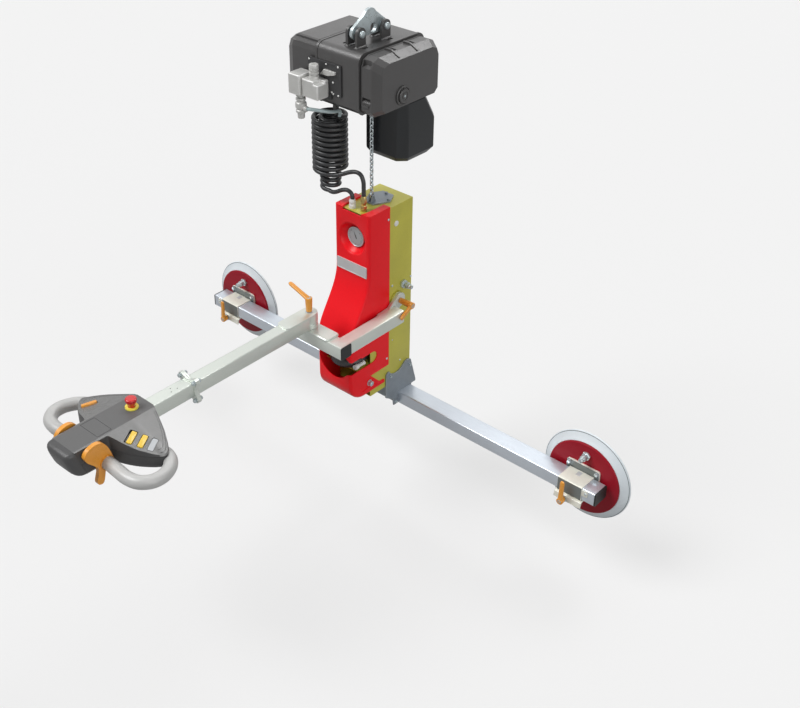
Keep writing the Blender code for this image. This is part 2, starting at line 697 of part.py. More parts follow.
def make_glands(brass, white):
    for name, x, y, radius, height, material in (
            ("brass_gland", BRASS_GLAND_X, BRASS_GLAND_Y, BRASS_GLAND_RADIUS, BRASS_GLAND_HEIGHT, brass),
            ("white_gland", WHITE_GLAND_X, WHITE_GLAND_Y, WHITE_GLAND_RADIUS, WHITE_GLAND_HEIGHT, white)):
        base = DECK + GAP
        profile = [(radius * 1.12, base), (radius * 1.12, base + height * 0.28), (radius * 0.85, base + height * 0.34),
                   (radius * 0.85, base + height * 0.46), (radius, base + height * 0.52), (radius, base + height)]
        piece(name, turned(profile, "Z", (x, y), 12), material)


def make_housing(zinc):
    """Folded sheet housing, open to the front, with the hose shelf and the pivot boss."""
    bottom = HOUSING_BOTTOM
    half = HOUSING_HALF_WIDTH
    shell = round_edges(box((-half, HOUSING_FRONT, bottom), (half, HOUSING_BACK, DECK)),
                        lambda co: co.y > HOUSING_BACK - 0.001, 0.004, 1)
    housing = piece("body_housing", shell, zinc)
    cut(housing, box((-half + SHEET, HOUSING_FRONT - 0.05, bottom + SHEET),
                     (half - SHEET, HOUSING_BACK - SHEET, DECK - SHEET)))
    shelf = HOUSING_BOTTOM + SHELF_ABOVE_BOTTOM
    fuse(housing, box((-half + SHEET / 2, SHELF_FRONT, shelf - SHEET), (half - SHEET / 2, HOUSING_BACK - SHEET / 2,
                                                                        shelf)))
    fuse(housing, turned([(PIVOT_BOSS_RADIUS, half - SHEET / 2), (PIVOT_BOSS_RADIUS, half + PIVOT_BOSS_HEIGHT)],
                         "X", (PIVOT_Y, PIVOT_Z), 24))
    stud = LEVER_STUD_RADIUS + BOLT_CLEARANCE
    cut(housing, turned([(stud, half - 0.02), (stud, half + 0.03)], "X", (PIVOT_Y, PIVOT_Z), 12))
    return housing


def cover_outline(inset, back):
    """Side view of the cover, Y and Z: straight top, concave sweep, round nose."""
    top = DECK + COVER_RISE
    sweep_top = top - COVER_SWEEP_START
    sweep_low = top - COVER_SWEEP_END
    reach = COVER_FRONT - COVER_NOSE
    outline = [(back, top), (COVER_FRONT + inset, top)]
    steps = 8
    for i in range(steps + 1):
        t = i / steps
        ease = t * t * (3 - 2 * t) * (0.55 + 0.45 * t)
        outline.append((COVER_FRONT - reach * ease + inset, sweep_top + (sweep_low - sweep_top) * t))
    low = HOUSING_BOTTOM + COVER_ABOVE_BOTTOM + inset
    nose = 0.080 - inset
    outline += arc((COVER_NOSE + inset + nose, low + nose), nose, 180, 270, 6)
    outline.append((back, low))
    return outline


def cover_solid(half, inset, corner, back, ceiling):
    """The side view carried across the width, with round corners at the front and the bottom."""
    turns = (0, 30, 60, 90)
    levels = [(-half + corner * (1 - cos(radians(turn))), turn) for turn in turns]
    levels += [(-x, turn) for x, turn in reversed(levels)]
    rings = []
    for x, turn in levels:
        outline = cover_outline(inset + corner * (1 - sin(radians(turn))), back)
        rings.append([place((y, min(z, ceiling)), "X", x) for y, z in outline])
    return loft(rings)


def make_cover(red):
    """Moulded front cover: shell, crater for the gauge, deck cut-out, hose slot and rear notch."""
    half = HOUSING_HALF_WIDTH + GAP + COVER_WALL
    top = DECK + COVER_RISE
    cover = piece("front_cover", cover_solid(half, 0, COVER_CORNER, COVER_SIDE_BACK, top), red)
    inner_half = half - COVER_WALL
    inner_back = COVER_SIDE_BACK + 0.05
    cut(cover, cover_solid(inner_half, COVER_WALL, COVER_INNER_CORNER, inner_back, DECK + GAP))
    cut(cover, box((-inner_half, HOUSING_FRONT - 2 * GAP, HOUSING_BOTTOM - 0.02),
                   (inner_half, inner_back, DECK - 0.3)))
    gauge_z = DECK - GAUGE_BELOW_DECK
    crater_floor = COVER_FRONT + CRATER_DEPTH
    boss = CRATER_RADIUS + 0.006
    fuse(cover, turned([(boss, COVER_FRONT + 0.001), (boss - 0.014, crater_floor + COVER_WALL)], "Y",
                       (0, gauge_z), 22))
    cut(cover, turned([(CRATER_RADIUS + 0.003, COVER_FRONT - 0.004), (GAUGE_RADIUS + 0.001, crater_floor)], "Y",
                      (0, gauge_z), 22))
    arm = half - COVER_ARM_WIDTH
    throat = [(-arm, COVER_SIDE_BACK + 0.02), (-arm, COVER_FRONT + 0.02), (-arm + 0.018, COVER_FRONT - 0.02),
              (arm - 0.018, COVER_FRONT - 0.02), (arm, COVER_FRONT + 0.02), (arm, COVER_SIDE_BACK + 0.02)]
    cut(cover, prism(throat, "Z", DECK - 0.0015, top + 0.02))
    slot = HOUSING_BOTTOM + SLOT_ABOVE_BOTTOM
    end = SLOT_HEIGHT / 2
    side = [(COVER_NOSE - 0.03, slot + end)] + arc((SLOT_BACK - end, slot), end, 90, -90, 6)
    side.append((COVER_NOSE - 0.03, slot - end))
    cut(cover, prism(side, "X", half - 0.03, half + 0.02))
    front = [(half + 0.03, slot + end)] + arc((SLOT_LEFT + end, slot), end, 90, 270, 6)
    front.append((half + 0.03, slot - end))
    cut(cover, prism(front, "Y", COVER_NOSE - 0.03, HOUSING_FRONT - 0.03))
    notch_top = HOUSING_BOTTOM + COVER_ABOVE_BOTTOM + 0.080
    notch = [(COVER_SIDE_BACK + 0.01, notch_top), (-0.100, notch_top), (-0.047, notch_top - 0.054),
             (-0.018, notch_top - 0.058), (-0.018, notch_top - 0.10), (COVER_SIDE_BACK + 0.01, notch_top - 0.10)]
    cut(cover, prism(notch, "X", -half - 0.02, half + 0.02))
    return cover


def make_gauge(chrome, black):
    """Vacuum gauge in the crater, with its pointer on an axle in the dial."""
    z = DECK - GAUGE_BELOW_DECK
    floor = COVER_FRONT + CRATER_DEPTH - GAP
    face = floor - GAUGE_THICKNESS
    rim = GAUGE_RADIUS
    case = turned([(rim, floor), (rim, face), (rim - 0.003, face), (rim - 0.003, face + 0.003)], "Y", (0, z), 22)
    gauge = piece("gauge_case", case, chrome)
    cut(gauge, turned([(0.0016, face - 0.01), (0.0016, face + 0.006)], "Y", (0, z), 8))
    axis = joint_axis("gauge_pointer_axis", (0, face, z))
    turn = radians(115)
    along = Vector((cos(turn), 0, sin(turn)))
    across = Vector((-sin(turn), 0, cos(turn)))
    level = face + 0.0010
    outline = [along * 0.026, along * 0.002 + across * 0.0028, -along * 0.009 + across * 0.002,
               -along * 0.009 - across * 0.002, along * 0.002 - across * 0.0028]
    centre = Vector((0, 0, z))
    hand = loft([[centre + point + Vector((0, y, 0)) for point in outline] for y in (level, level + 0.0012)])
    pointer = piece("gauge_pointer", hand, black, axis)
    fuse(pointer, turned([(0.0012, level + 0.0006), (0.0012, face + 0.005)], "Y", (0, z), 8))


def make_inner_parts(aluminium, grey, rubber):
    """Vacuum pump, reservoir, valve manifold and the spare suction hose in the nose."""
    back = HOUSING_BACK - SHEET - GAP
    pump_top = DECK - 0.060
    pump = piece("vacuum_pump", turned([(PUMP_RADIUS * 0.8, pump_top), (PUMP_RADIUS, pump_top - 0.012),
                                        (PUMP_RADIUS, pump_top - PUMP_LENGTH + 0.012),
                                        (PUMP_RADIUS * 0.8, pump_top - PUMP_LENGTH)], "Z",
                                       (0, back - PUMP_RADIUS - 0.012), 20), aluminium)
    fuse(pump, box((-0.030, back - PUMP_RADIUS, pump_top - 0.130), (0.030, back, pump_top - 0.040)))
    tank_top = pump_top - PUMP_LENGTH - 0.045
    tank = piece("vacuum_reservoir", turned([(RESERVOIR_RADIUS * 0.75, tank_top),
                                             (RESERVOIR_RADIUS, tank_top - 0.014),
                                             (RESERVOIR_RADIUS, tank_top - RESERVOIR_LENGTH + 0.014),
                                             (RESERVOIR_RADIUS * 0.75, tank_top - RESERVOIR_LENGTH)], "Z",
                                            (0, back - RESERVOIR_RADIUS - 0.012), 20), grey)
    fuse(tank, box((-0.024, back - RESERVOIR_RADIUS, tank_top - 0.160), (0.024, back, tank_top - 0.080)))
    width, depth, height = MANIFOLD_SIZE
    low = HOUSING_BOTTOM + SHELF_ABOVE_BOTTOM + GAP
    piece("valve_manifold", box((-width / 2, back - depth, low), (width / 2, back, low + height)), aluminium)
    radius = ROLL_HOSE_RADIUS
    centre_y = COVER_NOSE + COVER_WALL + 0.006 + ROLL_RADIUS + radius
    profile = arc((ROLL_RADIUS, low + radius), radius, -90, 225, 7)
    piece("suction_hose_roll", turned_ring(profile, "Z", (0, centre_y), 20), rubber)


def square_tube(outline_low, outline_high, along, low, high):
    return prism(rounded(outline_low, outline_high, TUBE_CORNER), along, low, high)


def make_beam(steel, black, blue_grey):
    """Pad beam: a rectangular tube with end plugs, held under the body by the saddle."""
    half = BEAM_LENGTH / 2
    beam = piece("pad_beam", square_tube((BEAM_FRONT, BEAM_BOTTOM), (BEAM_BACK, BEAM_TOP), "X", -half, half), steel)
    wall = BEAM_WALL
    cut(beam, box((-half - 0.01, BEAM_FRONT + wall, BEAM_BOTTOM + wall), (half + 0.01, BEAM_BACK - wall,
                                                                          BEAM_TOP - wall)))
    for name, side in (("beam_plug_left", -1), ("beam_plug_right", 1)):
        x = side * (half + GAP)
        plug = piece(name, square_tube((BEAM_FRONT, BEAM_BOTTOM), (BEAM_BACK, BEAM_TOP), "X",
                                       min(x, x + side * PLUG_THICKNESS), max(x, x + side * PLUG_THICKNESS)), black)
        inset = wall + GAP
        ends = sorted((side * (half - PLUG_STUB), side * (half + PLUG_THICKNESS / 2)))
        fuse(plug, box((ends[0], BEAM_FRONT + inset, BEAM_BOTTOM + inset),
                       (ends[1], BEAM_BACK - inset, BEAM_TOP - inset)))
    make_saddle(blue_grey)


def make_saddle(blue_grey):
    """An inverted channel on the beam, and two side plates that hold the housing."""
    inner = HOUSING_HALF_WIDTH + GAP
    outer = inner + SADDLE_PLATE
    top = BEAM_TOP + GAP
    front = BEAM_FRONT - GAP
    back = BEAM_BACK + GAP
    low = BEAM_TOP - SADDLE_LIP
    plate = SADDLE_PLATE
    channel = [(front - plate, low), (front, low), (front, top), (back, top), (back, low), (back + plate, low),
               (back + plate, top + plate), (front - plate, top + plate)]
    saddle = piece("beam_saddle", prism(channel, "X", -outer, outer), blue_grey)
    crest = HOUSING_BOTTOM + 0.0633
    side = [(-0.010, top + 0.006), (-0.010, crest - 0.004)]
    side += arc((0.004, crest - 0.008), 0.012, 160, 40, 3)
    side += arc((0.052, crest + 0.030), 0.052, 218, 322, 7)
    side += [(0.104, crest + 0.006), (0.120, crest + 0.009), (0.140, crest), (0.172, top + 0.012), (0.172, top),
             (front - plate / 2, top), (front - plate / 2, low), (0.038, low), (0.034, top - 0.022)]
    for x in (-outer, inner):
        fuse(saddle, prism(side, "X", x, x + plate))
    floor = HOUSING_BOTTOM - GAP
    fuse(saddle, box((-outer + 0.001, 0.000, floor - plate), (outer - 0.001, 0.130, floor)))


def make_pad(side_name, side, steel, red, rubber, light, orange):
    """One suction pad on its sliding holder; side is -1 or 1 along the beam."""
    x = side * PAD_SPACING / 2
    slide = joint_axis("pad_" + side_name + "_slide_axis", (x, BEAM_FRONT, BEAM_TOP))
    bore = GAP
    wall = SLEEVE_WALL + GAP
    low = x - SLEEVE_LENGTH / 2
    high = x + SLEEVE_LENGTH / 2
    sleeve = square_tube((BEAM_FRONT - wall, BEAM_BOTTOM - wall), (BEAM_BACK + wall, BEAM_TOP + wall), "X", low, high)
    holder = piece("pad_holder_" + side_name, sleeve, steel, slide)
    plate_back = PAD_FACE - 0.0235 - PAD_DISC_THICKNESS - GAP
    half = HOLDER_PLATE_WIDTH / 2
    outline = rounded((x - half, BEAM_TOP - HOLDER_PLATE_DROP), (x + half, BEAM_TOP + HOLDER_PLATE_RISE), 0.010)
    fuse(holder, prism(outline, "Y", BEAM_BACK + wall - 0.002, plate_back))
    jaw_top = BEAM_BOTTOM - wall + 0.001
    jaw_front = BEAM_FRONT - wall - 0.010
    jaw = [(plate_back - 0.001, jaw_top), (BEAM_FRONT, jaw_top), (jaw_front + 0.004, jaw_top - 0.006),
           (jaw_front, jaw_top - JAW_DROP), (jaw_front + 0.005, jaw_top - JAW_DROP),
           (jaw_front + 0.010, jaw_top - 0.009), (BEAM_FRONT + 0.004, jaw_top - 0.005), (plate_back - 0.001,
                                                                                   jaw_top - 0.005)]
    fuse(holder, prism(jaw, "X", x - JAW_LENGTH / 2, x + JAW_LENGTH / 2))
    cut(holder, square_tube((BEAM_FRONT - bore, BEAM_BOTTOM - bore), (BEAM_BACK + bore, BEAM_TOP + bore), "X",
                            x - 0.2, x + 0.2))
    hub_z = jaw_top - JAW_DROP * 0.62
    stud = LEVER_STUD_RADIUS + BOLT_CLEARANCE
    cut(holder, turned([(stud, jaw_front - 0.01), (stud, jaw_front + 0.02)], "Y", (x - 0.014, hub_z), 12))
    disc_back = plate_back + GAP + PAD_DISC_THICKNESS
    piece("pad_disc_" + side_name, turned([(PAD_DISC_RADIUS - 0.002, plate_back + GAP),
                                           (PAD_DISC_RADIUS, plate_back + GAP + 0.002),
                                           (PAD_DISC_RADIUS, disc_back)], "Y", (x, PAD_Z), 30), red, slide)
    front = disc_back + GAP
    rim = PAD_RADIUS
    lip = PAD_FACE - front
    ring = [(PAD_DISC_RADIUS - 0.020, front), (PAD_DISC_RADIUS + 0.001, front), (PAD_DISC_RADIUS + 0.004, front + 0.003),
            (rim, front + lip * 0.72), (rim, PAD_FACE), (rim - PAD_FACE_WIDTH, PAD_FACE),
            (PAD_DISC_RADIUS - 0.004, front + lip * 0.45), (PAD_DISC_RADIUS - 0.020, front + lip * 0.40)]
    piece("pad_seal_" + side_name, turned_ring(ring, "Y", (x, PAD_Z), 30), rubber, slide)
    nipple_z = PAD_Z + NIPPLE_ABOVE_CENTRE
    face = plate_back
    piece("pad_fitting_" + side_name, turned([(NIPPLE_NUT_RADIUS, face), (NIPPLE_NUT_RADIUS, face - 0.010),
                                              (NIPPLE_RADIUS, face - 0.010), (NIPPLE_RADIUS, face - NIPPLE_LENGTH)],
                                             "Y", (x + 0.005, nipple_z), 12), light, slide)
    make_lever("pad_lever_" + side_name, orange, (x - 0.014, jaw_front - GAP, hub_z), (0, -1, 0), (0.02, 0, 1),
               PAD_LEVER_HUB, PAD_LEVER_REACH, 0.0, 0.004)


def make_lever(name, orange, base, axis, towards, hub, reach, rise, stud):
    """A clamp lever: a hub on its screw and a tapering handle that starts at the hub's head."""
    up = Vector(axis).normalized()
    ahead = Vector(towards)
    ahead = (ahead - up * ahead.dot(up)).normalized()
    frame = Matrix((ahead, up.cross(ahead), up)).transposed().to_4x4()
    frame.translation = Vector(base)
    pivot = joint_axis(name + "_axis", base)
    radius = LEVER_HUB_RADIUS
    body = turned([(radius * 0.82, 0), (radius * 0.9, 0.006), (radius, hub - LEVER_THICKNESS), (radius, hub)], "Z",
                  (0, 0), 12)
    bmesh.ops.transform(body, matrix=frame, verts=body.verts)
    lever = piece(name, body, orange, pivot)
    rings = []
    for share, width, thick in ((0.0, LEVER_WIDTH, LEVER_THICKNESS), (0.35, LEVER_WIDTH * 0.80, LEVER_THICKNESS * 0.86),
                                (0.92, LEVER_TIP_WIDTH, LEVER_THICKNESS * 0.86),
                                (1.0, LEVER_TIP_WIDTH * 0.6, LEVER_THICKNESS * 0.5)):
        level = hub - LEVER_THICKNESS / 2 - 0.0004 + rise * share
        rings.append([Vector((reach * share, v, level + w))
                      for v, w in rounded((-width / 2, -thick / 2), (width / 2, thick / 2), thick * 0.3, 1)])
    handle = loft(rings)
    bmesh.ops.transform(handle, matrix=frame, verts=handle.verts)
    fuse(lever, handle)
    screw = turned([(LEVER_STUD_RADIUS, -stud), (LEVER_STUD_RADIUS, 0.004)], "Z", (0, 0), 12)
    bmesh.ops.transform(screw, matrix=frame, verts=screw.verts)
    fuse(lever, screw)


def make_bracket(pale, black, orange):
    """Welded bracket that tilts on the body's side and carries the arm's swivel."""
    axis = joint_axis("handle_tilt_axis", (HOUSING_HALF_WIDTH, PIVOT_Y, PIVOT_Z))
    low = BRACKET_TOP - BRACKET_TUBE
    inner = BRACKET_OUTER - BRACKET_TUBE
    cross_back = BRACKET_FRONT + BRACKET_TUBE
    cross = square_tube((BRACKET_FRONT, low), (cross_back, BRACKET_TOP), "X", BRACKET_LEFT, BRACKET_OUTER)
    bracket = piece("handle_bracket", cross, pale, axis)
    fuse(bracket, square_tube((inner, low), (BRACKET_OUTER, BRACKET_TOP), "Y", cross_back - 0.006, SIDE_TUBE_BACK))
    plate_low = HOUSING_HALF_WIDTH + PIVOT_BOSS_HEIGHT + GAP
    plate_high = max(plate_low + PIVOT_PLATE_THICKNESS, inner + 0.001)
    radius = PIVOT_PLATE_RADIUS
    outline = arc((PIVOT_Y, PIVOT_Z), radius, 100, -80, 10)
    outline += [(SIDE_TUBE_BACK, low + 0.004), (-0.050, low + 0.004), (-0.070, low + 0.016), (-0.070, BRACKET_TOP - 0.006),
                (-0.010, BRACKET_TOP - 0.003)]
    fuse(bracket, prism(outline, "X", plate_low, plate_high))
    stud = LEVER_STUD_RADIUS + BOLT_CLEARANCE
    cut(bracket, turned([(stud, plate_low - 0.01), (stud, plate_high + 0.02)], "X", (PIVOT_Y, PIVOT_Z), 12))
    plate_top = BRACKET_TOP + COVER_PLATE_THICKNESS
    lid_left = SWIVEL_X - SWIVEL_RADIUS - 0.004
    lid = prism(rounded((lid_left, BRACKET_FRONT - 0.003), (COVER_PLATE_RIGHT, cross_back + 0.010), 0.012, 2), "Z",
                BRACKET_TOP - 0.002, plate_top)
    round_edges(lid, lambda co: co.z > plate_top - 0.0005, 0.0025, 1)
    fuse(bracket, lid)
    wall = BRACKET_WALL
    cut(bracket, box((BRACKET_LEFT + wall, BRACKET_FRONT + wall, low + wall),
                     (BRACKET_OUTER + 0.01, cross_back - wall, BRACKET_TOP - wall)))
    cut(bracket, box((inner + wall, BRACKET_FRONT + 2 * wall, low + wall),
                     (BRACKET_OUTER - wall, SIDE_TUBE_BACK - wall, BRACKET_TOP - wall)))
    pivot_hole = LEVER_STUD_RADIUS + BOLT_CLEARANCE
    cut(bracket, turned([(pivot_hole, BRACKET_TOP - 0.02), (pivot_hole, plate_top + 0.01)], "Z",
                        (SWIVEL_X, SWIVEL_Y), 12))
    end = BRACKET_OUTER + GAP
    plug = piece("bracket_plug", square_tube((BRACKET_FRONT, low), (cross_back, BRACKET_TOP), "X", end, end + 0.004),
                 black, axis)
    inset = wall + GAP
    fuse(plug, box((BRACKET_OUTER - 0.012, BRACKET_FRONT + inset, low + inset),
                   (end + 0.002, cross_back - inset, BRACKET_TOP - inset)))
    make_lever("tilt_lever", orange, (plate_high + GAP, PIVOT_Y, PIVOT_Z), (1, 0, 0), (0, -0.88, -0.47),
               TILT_LEVER_HUB, TILT_LEVER_REACH, 0.0, plate_high - HOUSING_HALF_WIDTH)


def flange_outline():
    """A square flange between the four bolt lobes, X and Z about the arm's axis."""
    centre = (SWIVEL_X, ARM_BOTTOM + ARM_TUBE / 2)
    half = ARM_TUBE / 2 + 0.004
    outline = []
    for turn in (45, 135, 225, 315):
        lobe = (centre[0] + FLANGE_BOLT_OFFSET * (1 if turn in (45, 315) else -1),
                centre[1] + FLANGE_BOLT_OFFSET * (1 if turn < 180 else -1))
        outline += arc(lobe, FLANGE_LOBE, turn - 100, turn + 100, 4)
        next_turn = radians(turn + 45)
        outline.append((centre[0] + half * cos(next_turn), centre[1] + half * sin(next_turn)))
    return outline


def make_flange(tube, back, front):
    fuse(tube, prism(flange_outline(), "Y", back, front))
    centre_z = ARM_BOTTOM + ARM_TUBE / 2
    radius = FLANGE_BOLT_DIAMETER / 2
    for x in (-1, 1):
        for z in (-1, 1):
            cut(tube, turned([(radius, back - 0.01), (radius, front + 0.01)], "Y",
                             (SWIVEL_X + x * FLANGE_BOLT_OFFSET, centre_z + z * FLANGE_BOLT_OFFSET), 8))


def make_arm(pale, orange):
    """Arm in two tubes, bolted end to end, on the swivel's discs."""
    axis = joint_axis("arm_swivel_axis", (SWIVEL_X, SWIVEL_Y, ARM_BOTTOM))
    left = SWIVEL_X - ARM_TUBE / 2
    right = SWIVEL_X + ARM_TUBE / 2
    start = SWIVEL_Y - SWIVEL_RADIUS + 0.006
    joint = ARM_JOINT_Y
    inner = piece("arm_inner", square_tube((left, ARM_BOTTOM), (right, ARM_TOP), "Y", joint + GAP / 2, start), pale, axis)
    radius = SWIVEL_RADIUS
    fuse(inner, turned([(radius, ARM_BOTTOM), (radius, ARM_BOTTOM + 0.020), (radius - 0.003, ARM_BOTTOM + 0.021),
                        (radius - 0.003, ARM_BOTTOM + 0.026), (radius, ARM_BOTTOM + 0.027), (radius, ARM_TOP + 0.001)],
                       "Z", (SWIVEL_X, SWIVEL_Y), 18))
    half = SWIVEL_RADIUS - 0.001
    top = [(SWIVEL_X - half + 0.010, ARM_TOP_PLATE_FRONT), (SWIVEL_X + half - 0.010, ARM_TOP_PLATE_FRONT),
           (SWIVEL_X + half, ARM_TOP_PLATE_FRONT + 0.010)]
    top += arc((SWIVEL_X, SWIVEL_Y), half, 0, 180, 10)
    top.append((SWIVEL_X - half, ARM_TOP_PLATE_FRONT + 0.010))
    fuse(inner, prism(top, "Z", ARM_TOP - 0.001, ARM_TOP + ARM_TOP_PLATE))
    make_flange(inner, joint + GAP / 2, joint + GAP / 2 + FLANGE_THICKNESS)
    wall = ARM_WALL
    cut(inner, box((left + wall, joint - 0.01, ARM_BOTTOM + wall), (right - wall, start - 0.020, ARM_TOP - wall)))
    hole = LEVER_STUD_RADIUS + BOLT_CLEARANCE
    cut(inner, turned([(hole, ARM_BOTTOM - 0.01), (hole, ARM_TOP + 0.03)], "Z", (SWIVEL_X, SWIVEL_Y), 12))
    outer = piece("arm_outer", square_tube((left, ARM_BOTTOM), (right, ARM_TOP), "Y", ARM_END_Y, joint - GAP / 2),
                  pale, axis)
    make_flange(outer, joint - GAP / 2 - FLANGE_THICKNESS, joint - GAP / 2)
    cut(outer, box((left + wall, ARM_END_Y - 0.01, ARM_BOTTOM + wall), (right - wall, joint + 0.01, ARM_TOP - wall)))
    make_lever("swivel_lever", orange, (SWIVEL_X, SWIVEL_Y, ARM_TOP + ARM_TOP_PLATE + GAP), (0, 0, 1), (-1, 0.04, 0),
               SWIVEL_LEVER_HUB, SWIVEL_LEVER_REACH, 0.028,
               ARM_TOP + ARM_TOP_PLATE - BRACKET_TOP + 0.004)
    return axis


# Half widths of the handle's shell along the arm: shoulders, then the waist
HANDLE_STATIONS = ((HANDLE_BACK, 0.046), (-1.0785, 0.062), (-1.090, 0.092), (-1.103, 0.124), (-1.1155, 0.153),
                   (-1.135, 0.186), (-1.155, 0.212), (-1.170, 0.2225), (-1.182, 0.220), (-1.194, 0.210),
                   (-1.205, 0.198), (-1.230, 0.162), (-1.2485, 0.126), (-1.261, 0.090), (-1.270, 0.064),
                   (-1.320, 0.063), (NOSE_JOINT_Y, 0.062))


def joint_lean(z):
    """How far the nose joint leans forward at a height."""
    return -NOSE_JOINT_LEAN * (z - PART_LINE)


def handle_section(y, half, upper):
    """Cross-section of the upper or the lower shell, sloping from the deck to the rim."""
    deck = min(HANDLE_DECK_HALF, half - 0.006)
    slope = sin(PANEL_SLOPE) / cos(PANEL_SLOPE)
    rim = max(HANDLE_DECK - (half - 0.004 - deck) * slope, HANDLE_DECK - RIM_BELOW_DECK)
    part = PART_LINE
    if upper:
        side = [(deck, HANDLE_DECK), (half - 0.004, rim), (half, min(rim - 0.004, part + 0.003)), (half, part + GAP / 2)]
    else:
        low = HANDLE_BOTTOM
        skirt = low + 0.05 * (half - deck)
        side = [(half, part - GAP / 2), (half, min(skirt + 0.012, part - 0.004)), (half - 0.008, skirt), (deck, low)]
    ring = side + [(-x, z) for x, z in reversed(side)]
    lean = 1 if y == NOSE_JOINT_Y else 0
    return [Vector((SWIVEL_X + x, y + lean * joint_lean(z), z)) for x, z in ring]


def grip_path(side):
    """One loop: out from the waist, round the outer corner and back into the shoulder."""
    points = ((GRIP_ROOT_X - 0.002, GRIP_ROOT_Y), (0.100, GRIP_ROOT_Y), (0.145, -1.303), (0.190, -1.305),
              (0.233, -1.294), (0.261, -1.262), (0.265, -1.222), (0.247, -1.182), (0.220, -1.152), (0.192, -1.132))
    return [Vector((SWIVEL_X + side * x, y, GRIP_Z)) for x, y in points]


def button_frame(x, y, side):
    """The frame of a button: its Z axis stands square on the sloping side panel."""
    z = HANDLE_DECK - (abs(x) - HANDLE_DECK_HALF) * sin(PANEL_SLOPE) / cos(PANEL_SLOPE)
    frame = Matrix.Rotation(side * PANEL_SLOPE, 4, "Y") @ Matrix.Rotation(side * radians(16), 4, "Z")
    frame.translation = Vector((SWIVEL_X + x, y, z))
    return frame


def make_button(name, shell, x, y, side, material):
    """A rocker in a pocket of the side panel that leaves room for its travel."""
    frame = button_frame(x, y, side)
    half = (BUTTON_WIDTH / 2, BUTTON_LENGTH / 2)
    pocket = prism(rounded((-half[0] - GAP, -half[1] - GAP), (half[0] + GAP, half[1] + GAP), 0.004, 1), "Z",
                   BUTTON_PROUD - BUTTON_HEIGHT - BUTTON_TRAVEL - GAP, 0.03)
    bmesh.ops.transform(pocket, matrix=frame, verts=pocket.verts)
    cut(shell, pocket)
    key = prism(rounded((-half[0], -half[1]), half, 0.004, 1), "Z", BUTTON_PROUD - BUTTON_HEIGHT, BUTTON_PROUD)
    round_edges(key, lambda co: co.z > BUTTON_PROUD - 0.0001, 0.0012, 1)
    bmesh.ops.transform(key, matrix=frame, verts=key.verts)
    piece(name, key, material, joint_axis(name + "_axis", frame.translation))


def make_handle(grey, dark, pale, yellow, red, orange, arm_axis):
    """Two half shells round the arm's end, nose cap, two grips and the controls."""
    shells = []
    for name, upper in (("handle_upper_shell", True), ("handle_lower_shell", False)):
        shells.append(piece(name, loft([handle_section(y, half, upper) for y, half in HANDLE_STATIONS]), grey, arm_axis))
    fit = ARM_TUBE / 2 + GAP
    middle = ARM_BOTTOM + ARM_TUBE / 2
    for shell in shells:
        cut(shell, box((SWIVEL_X - fit, ARM_END_Y - GAP, middle - fit), (SWIVEL_X + fit, HANDLE_BACK + 0.02,
                                                                       middle + fit)))
    for name, side in (("grip_left", -1), ("grip_right", 1)):
        path = spline(grip_path(side), 3)
        piece(name, sweep(path, GRIP_RADIUS), pale, arm_axis)
        first = path[0] - (path[1] - path[0]).normalized() * GAP
        last = path[-1] + (path[-1] - path[-2]).normalized() * GAP
        cut(shells[1], sweep([first] + path[1:-1] + [last], GRIP_RADIUS + GAP))
    rings = []
    for reach, half, drop in ((GAP, 0.061, 0), (0.018, 0.061, 0.002), (0.032, 0.054, 0.010),
                              (NOSE_REACH, 0.038, 0.026)):
        rings.append([Vector((SWIVEL_X + x, NOSE_JOINT_Y - reach + joint_lean(z), z)) for x, z in rounded(
            (-half, HANDLE_BOTTOM + drop), (half, HANDLE_DECK - drop), 0.012)])
    piece("nose_cap", loft(rings), dark, arm_axis)
    make_estop(red, yellow, arm_axis)
    for i, (x, y) in enumerate(zip(PANEL_BUTTONS, PANEL_BUTTON_Y)):
        make_button(("button_lower", "button_raise")[i], shells[0], x, y, 1, yellow)
    make_button("button_release", shells[0], HORN_X, HORN_Y, -1, orange)
    make_thumb_levers(orange)


def make_estop(red, yellow, arm_axis):
    ring_top = HANDLE_DECK + GAP + ESTOP_RING_HEIGHT
    ring = turned_ring([(ESTOP_STEM_RADIUS + 0.0008, HANDLE_DECK + GAP), (ESTOP_RING_RADIUS, HANDLE_DECK + GAP),
                        (ESTOP_RING_RADIUS - 0.001, ring_top), (ESTOP_STEM_RADIUS + 0.0008, ring_top)], "Z",
                       (SWIVEL_X, ESTOP_Y), 18)
    piece("estop_ring", ring, yellow, arm_axis)
    low = HANDLE_DECK + GAP + ESTOP_TRAVEL
    high = ring_top + ESTOP_STEM_HEIGHT
    cap = ESTOP_CAP_RADIUS
    profile = [(ESTOP_STEM_RADIUS, low), (ESTOP_STEM_RADIUS, high), (cap * 0.88, high), (cap, high + 0.003),
               (cap, high + ESTOP_CAP_HEIGHT - 0.005), (cap * 0.86, high + ESTOP_CAP_HEIGHT - 0.001),
               (cap * 0.5, high + ESTOP_CAP_HEIGHT)]
    axis = joint_axis("estop_axis", (SWIVEL_X, ESTOP_Y, low))
    piece("estop_button", turned(profile, "Z", (SWIVEL_X, ESTOP_Y), 16), red, axis)


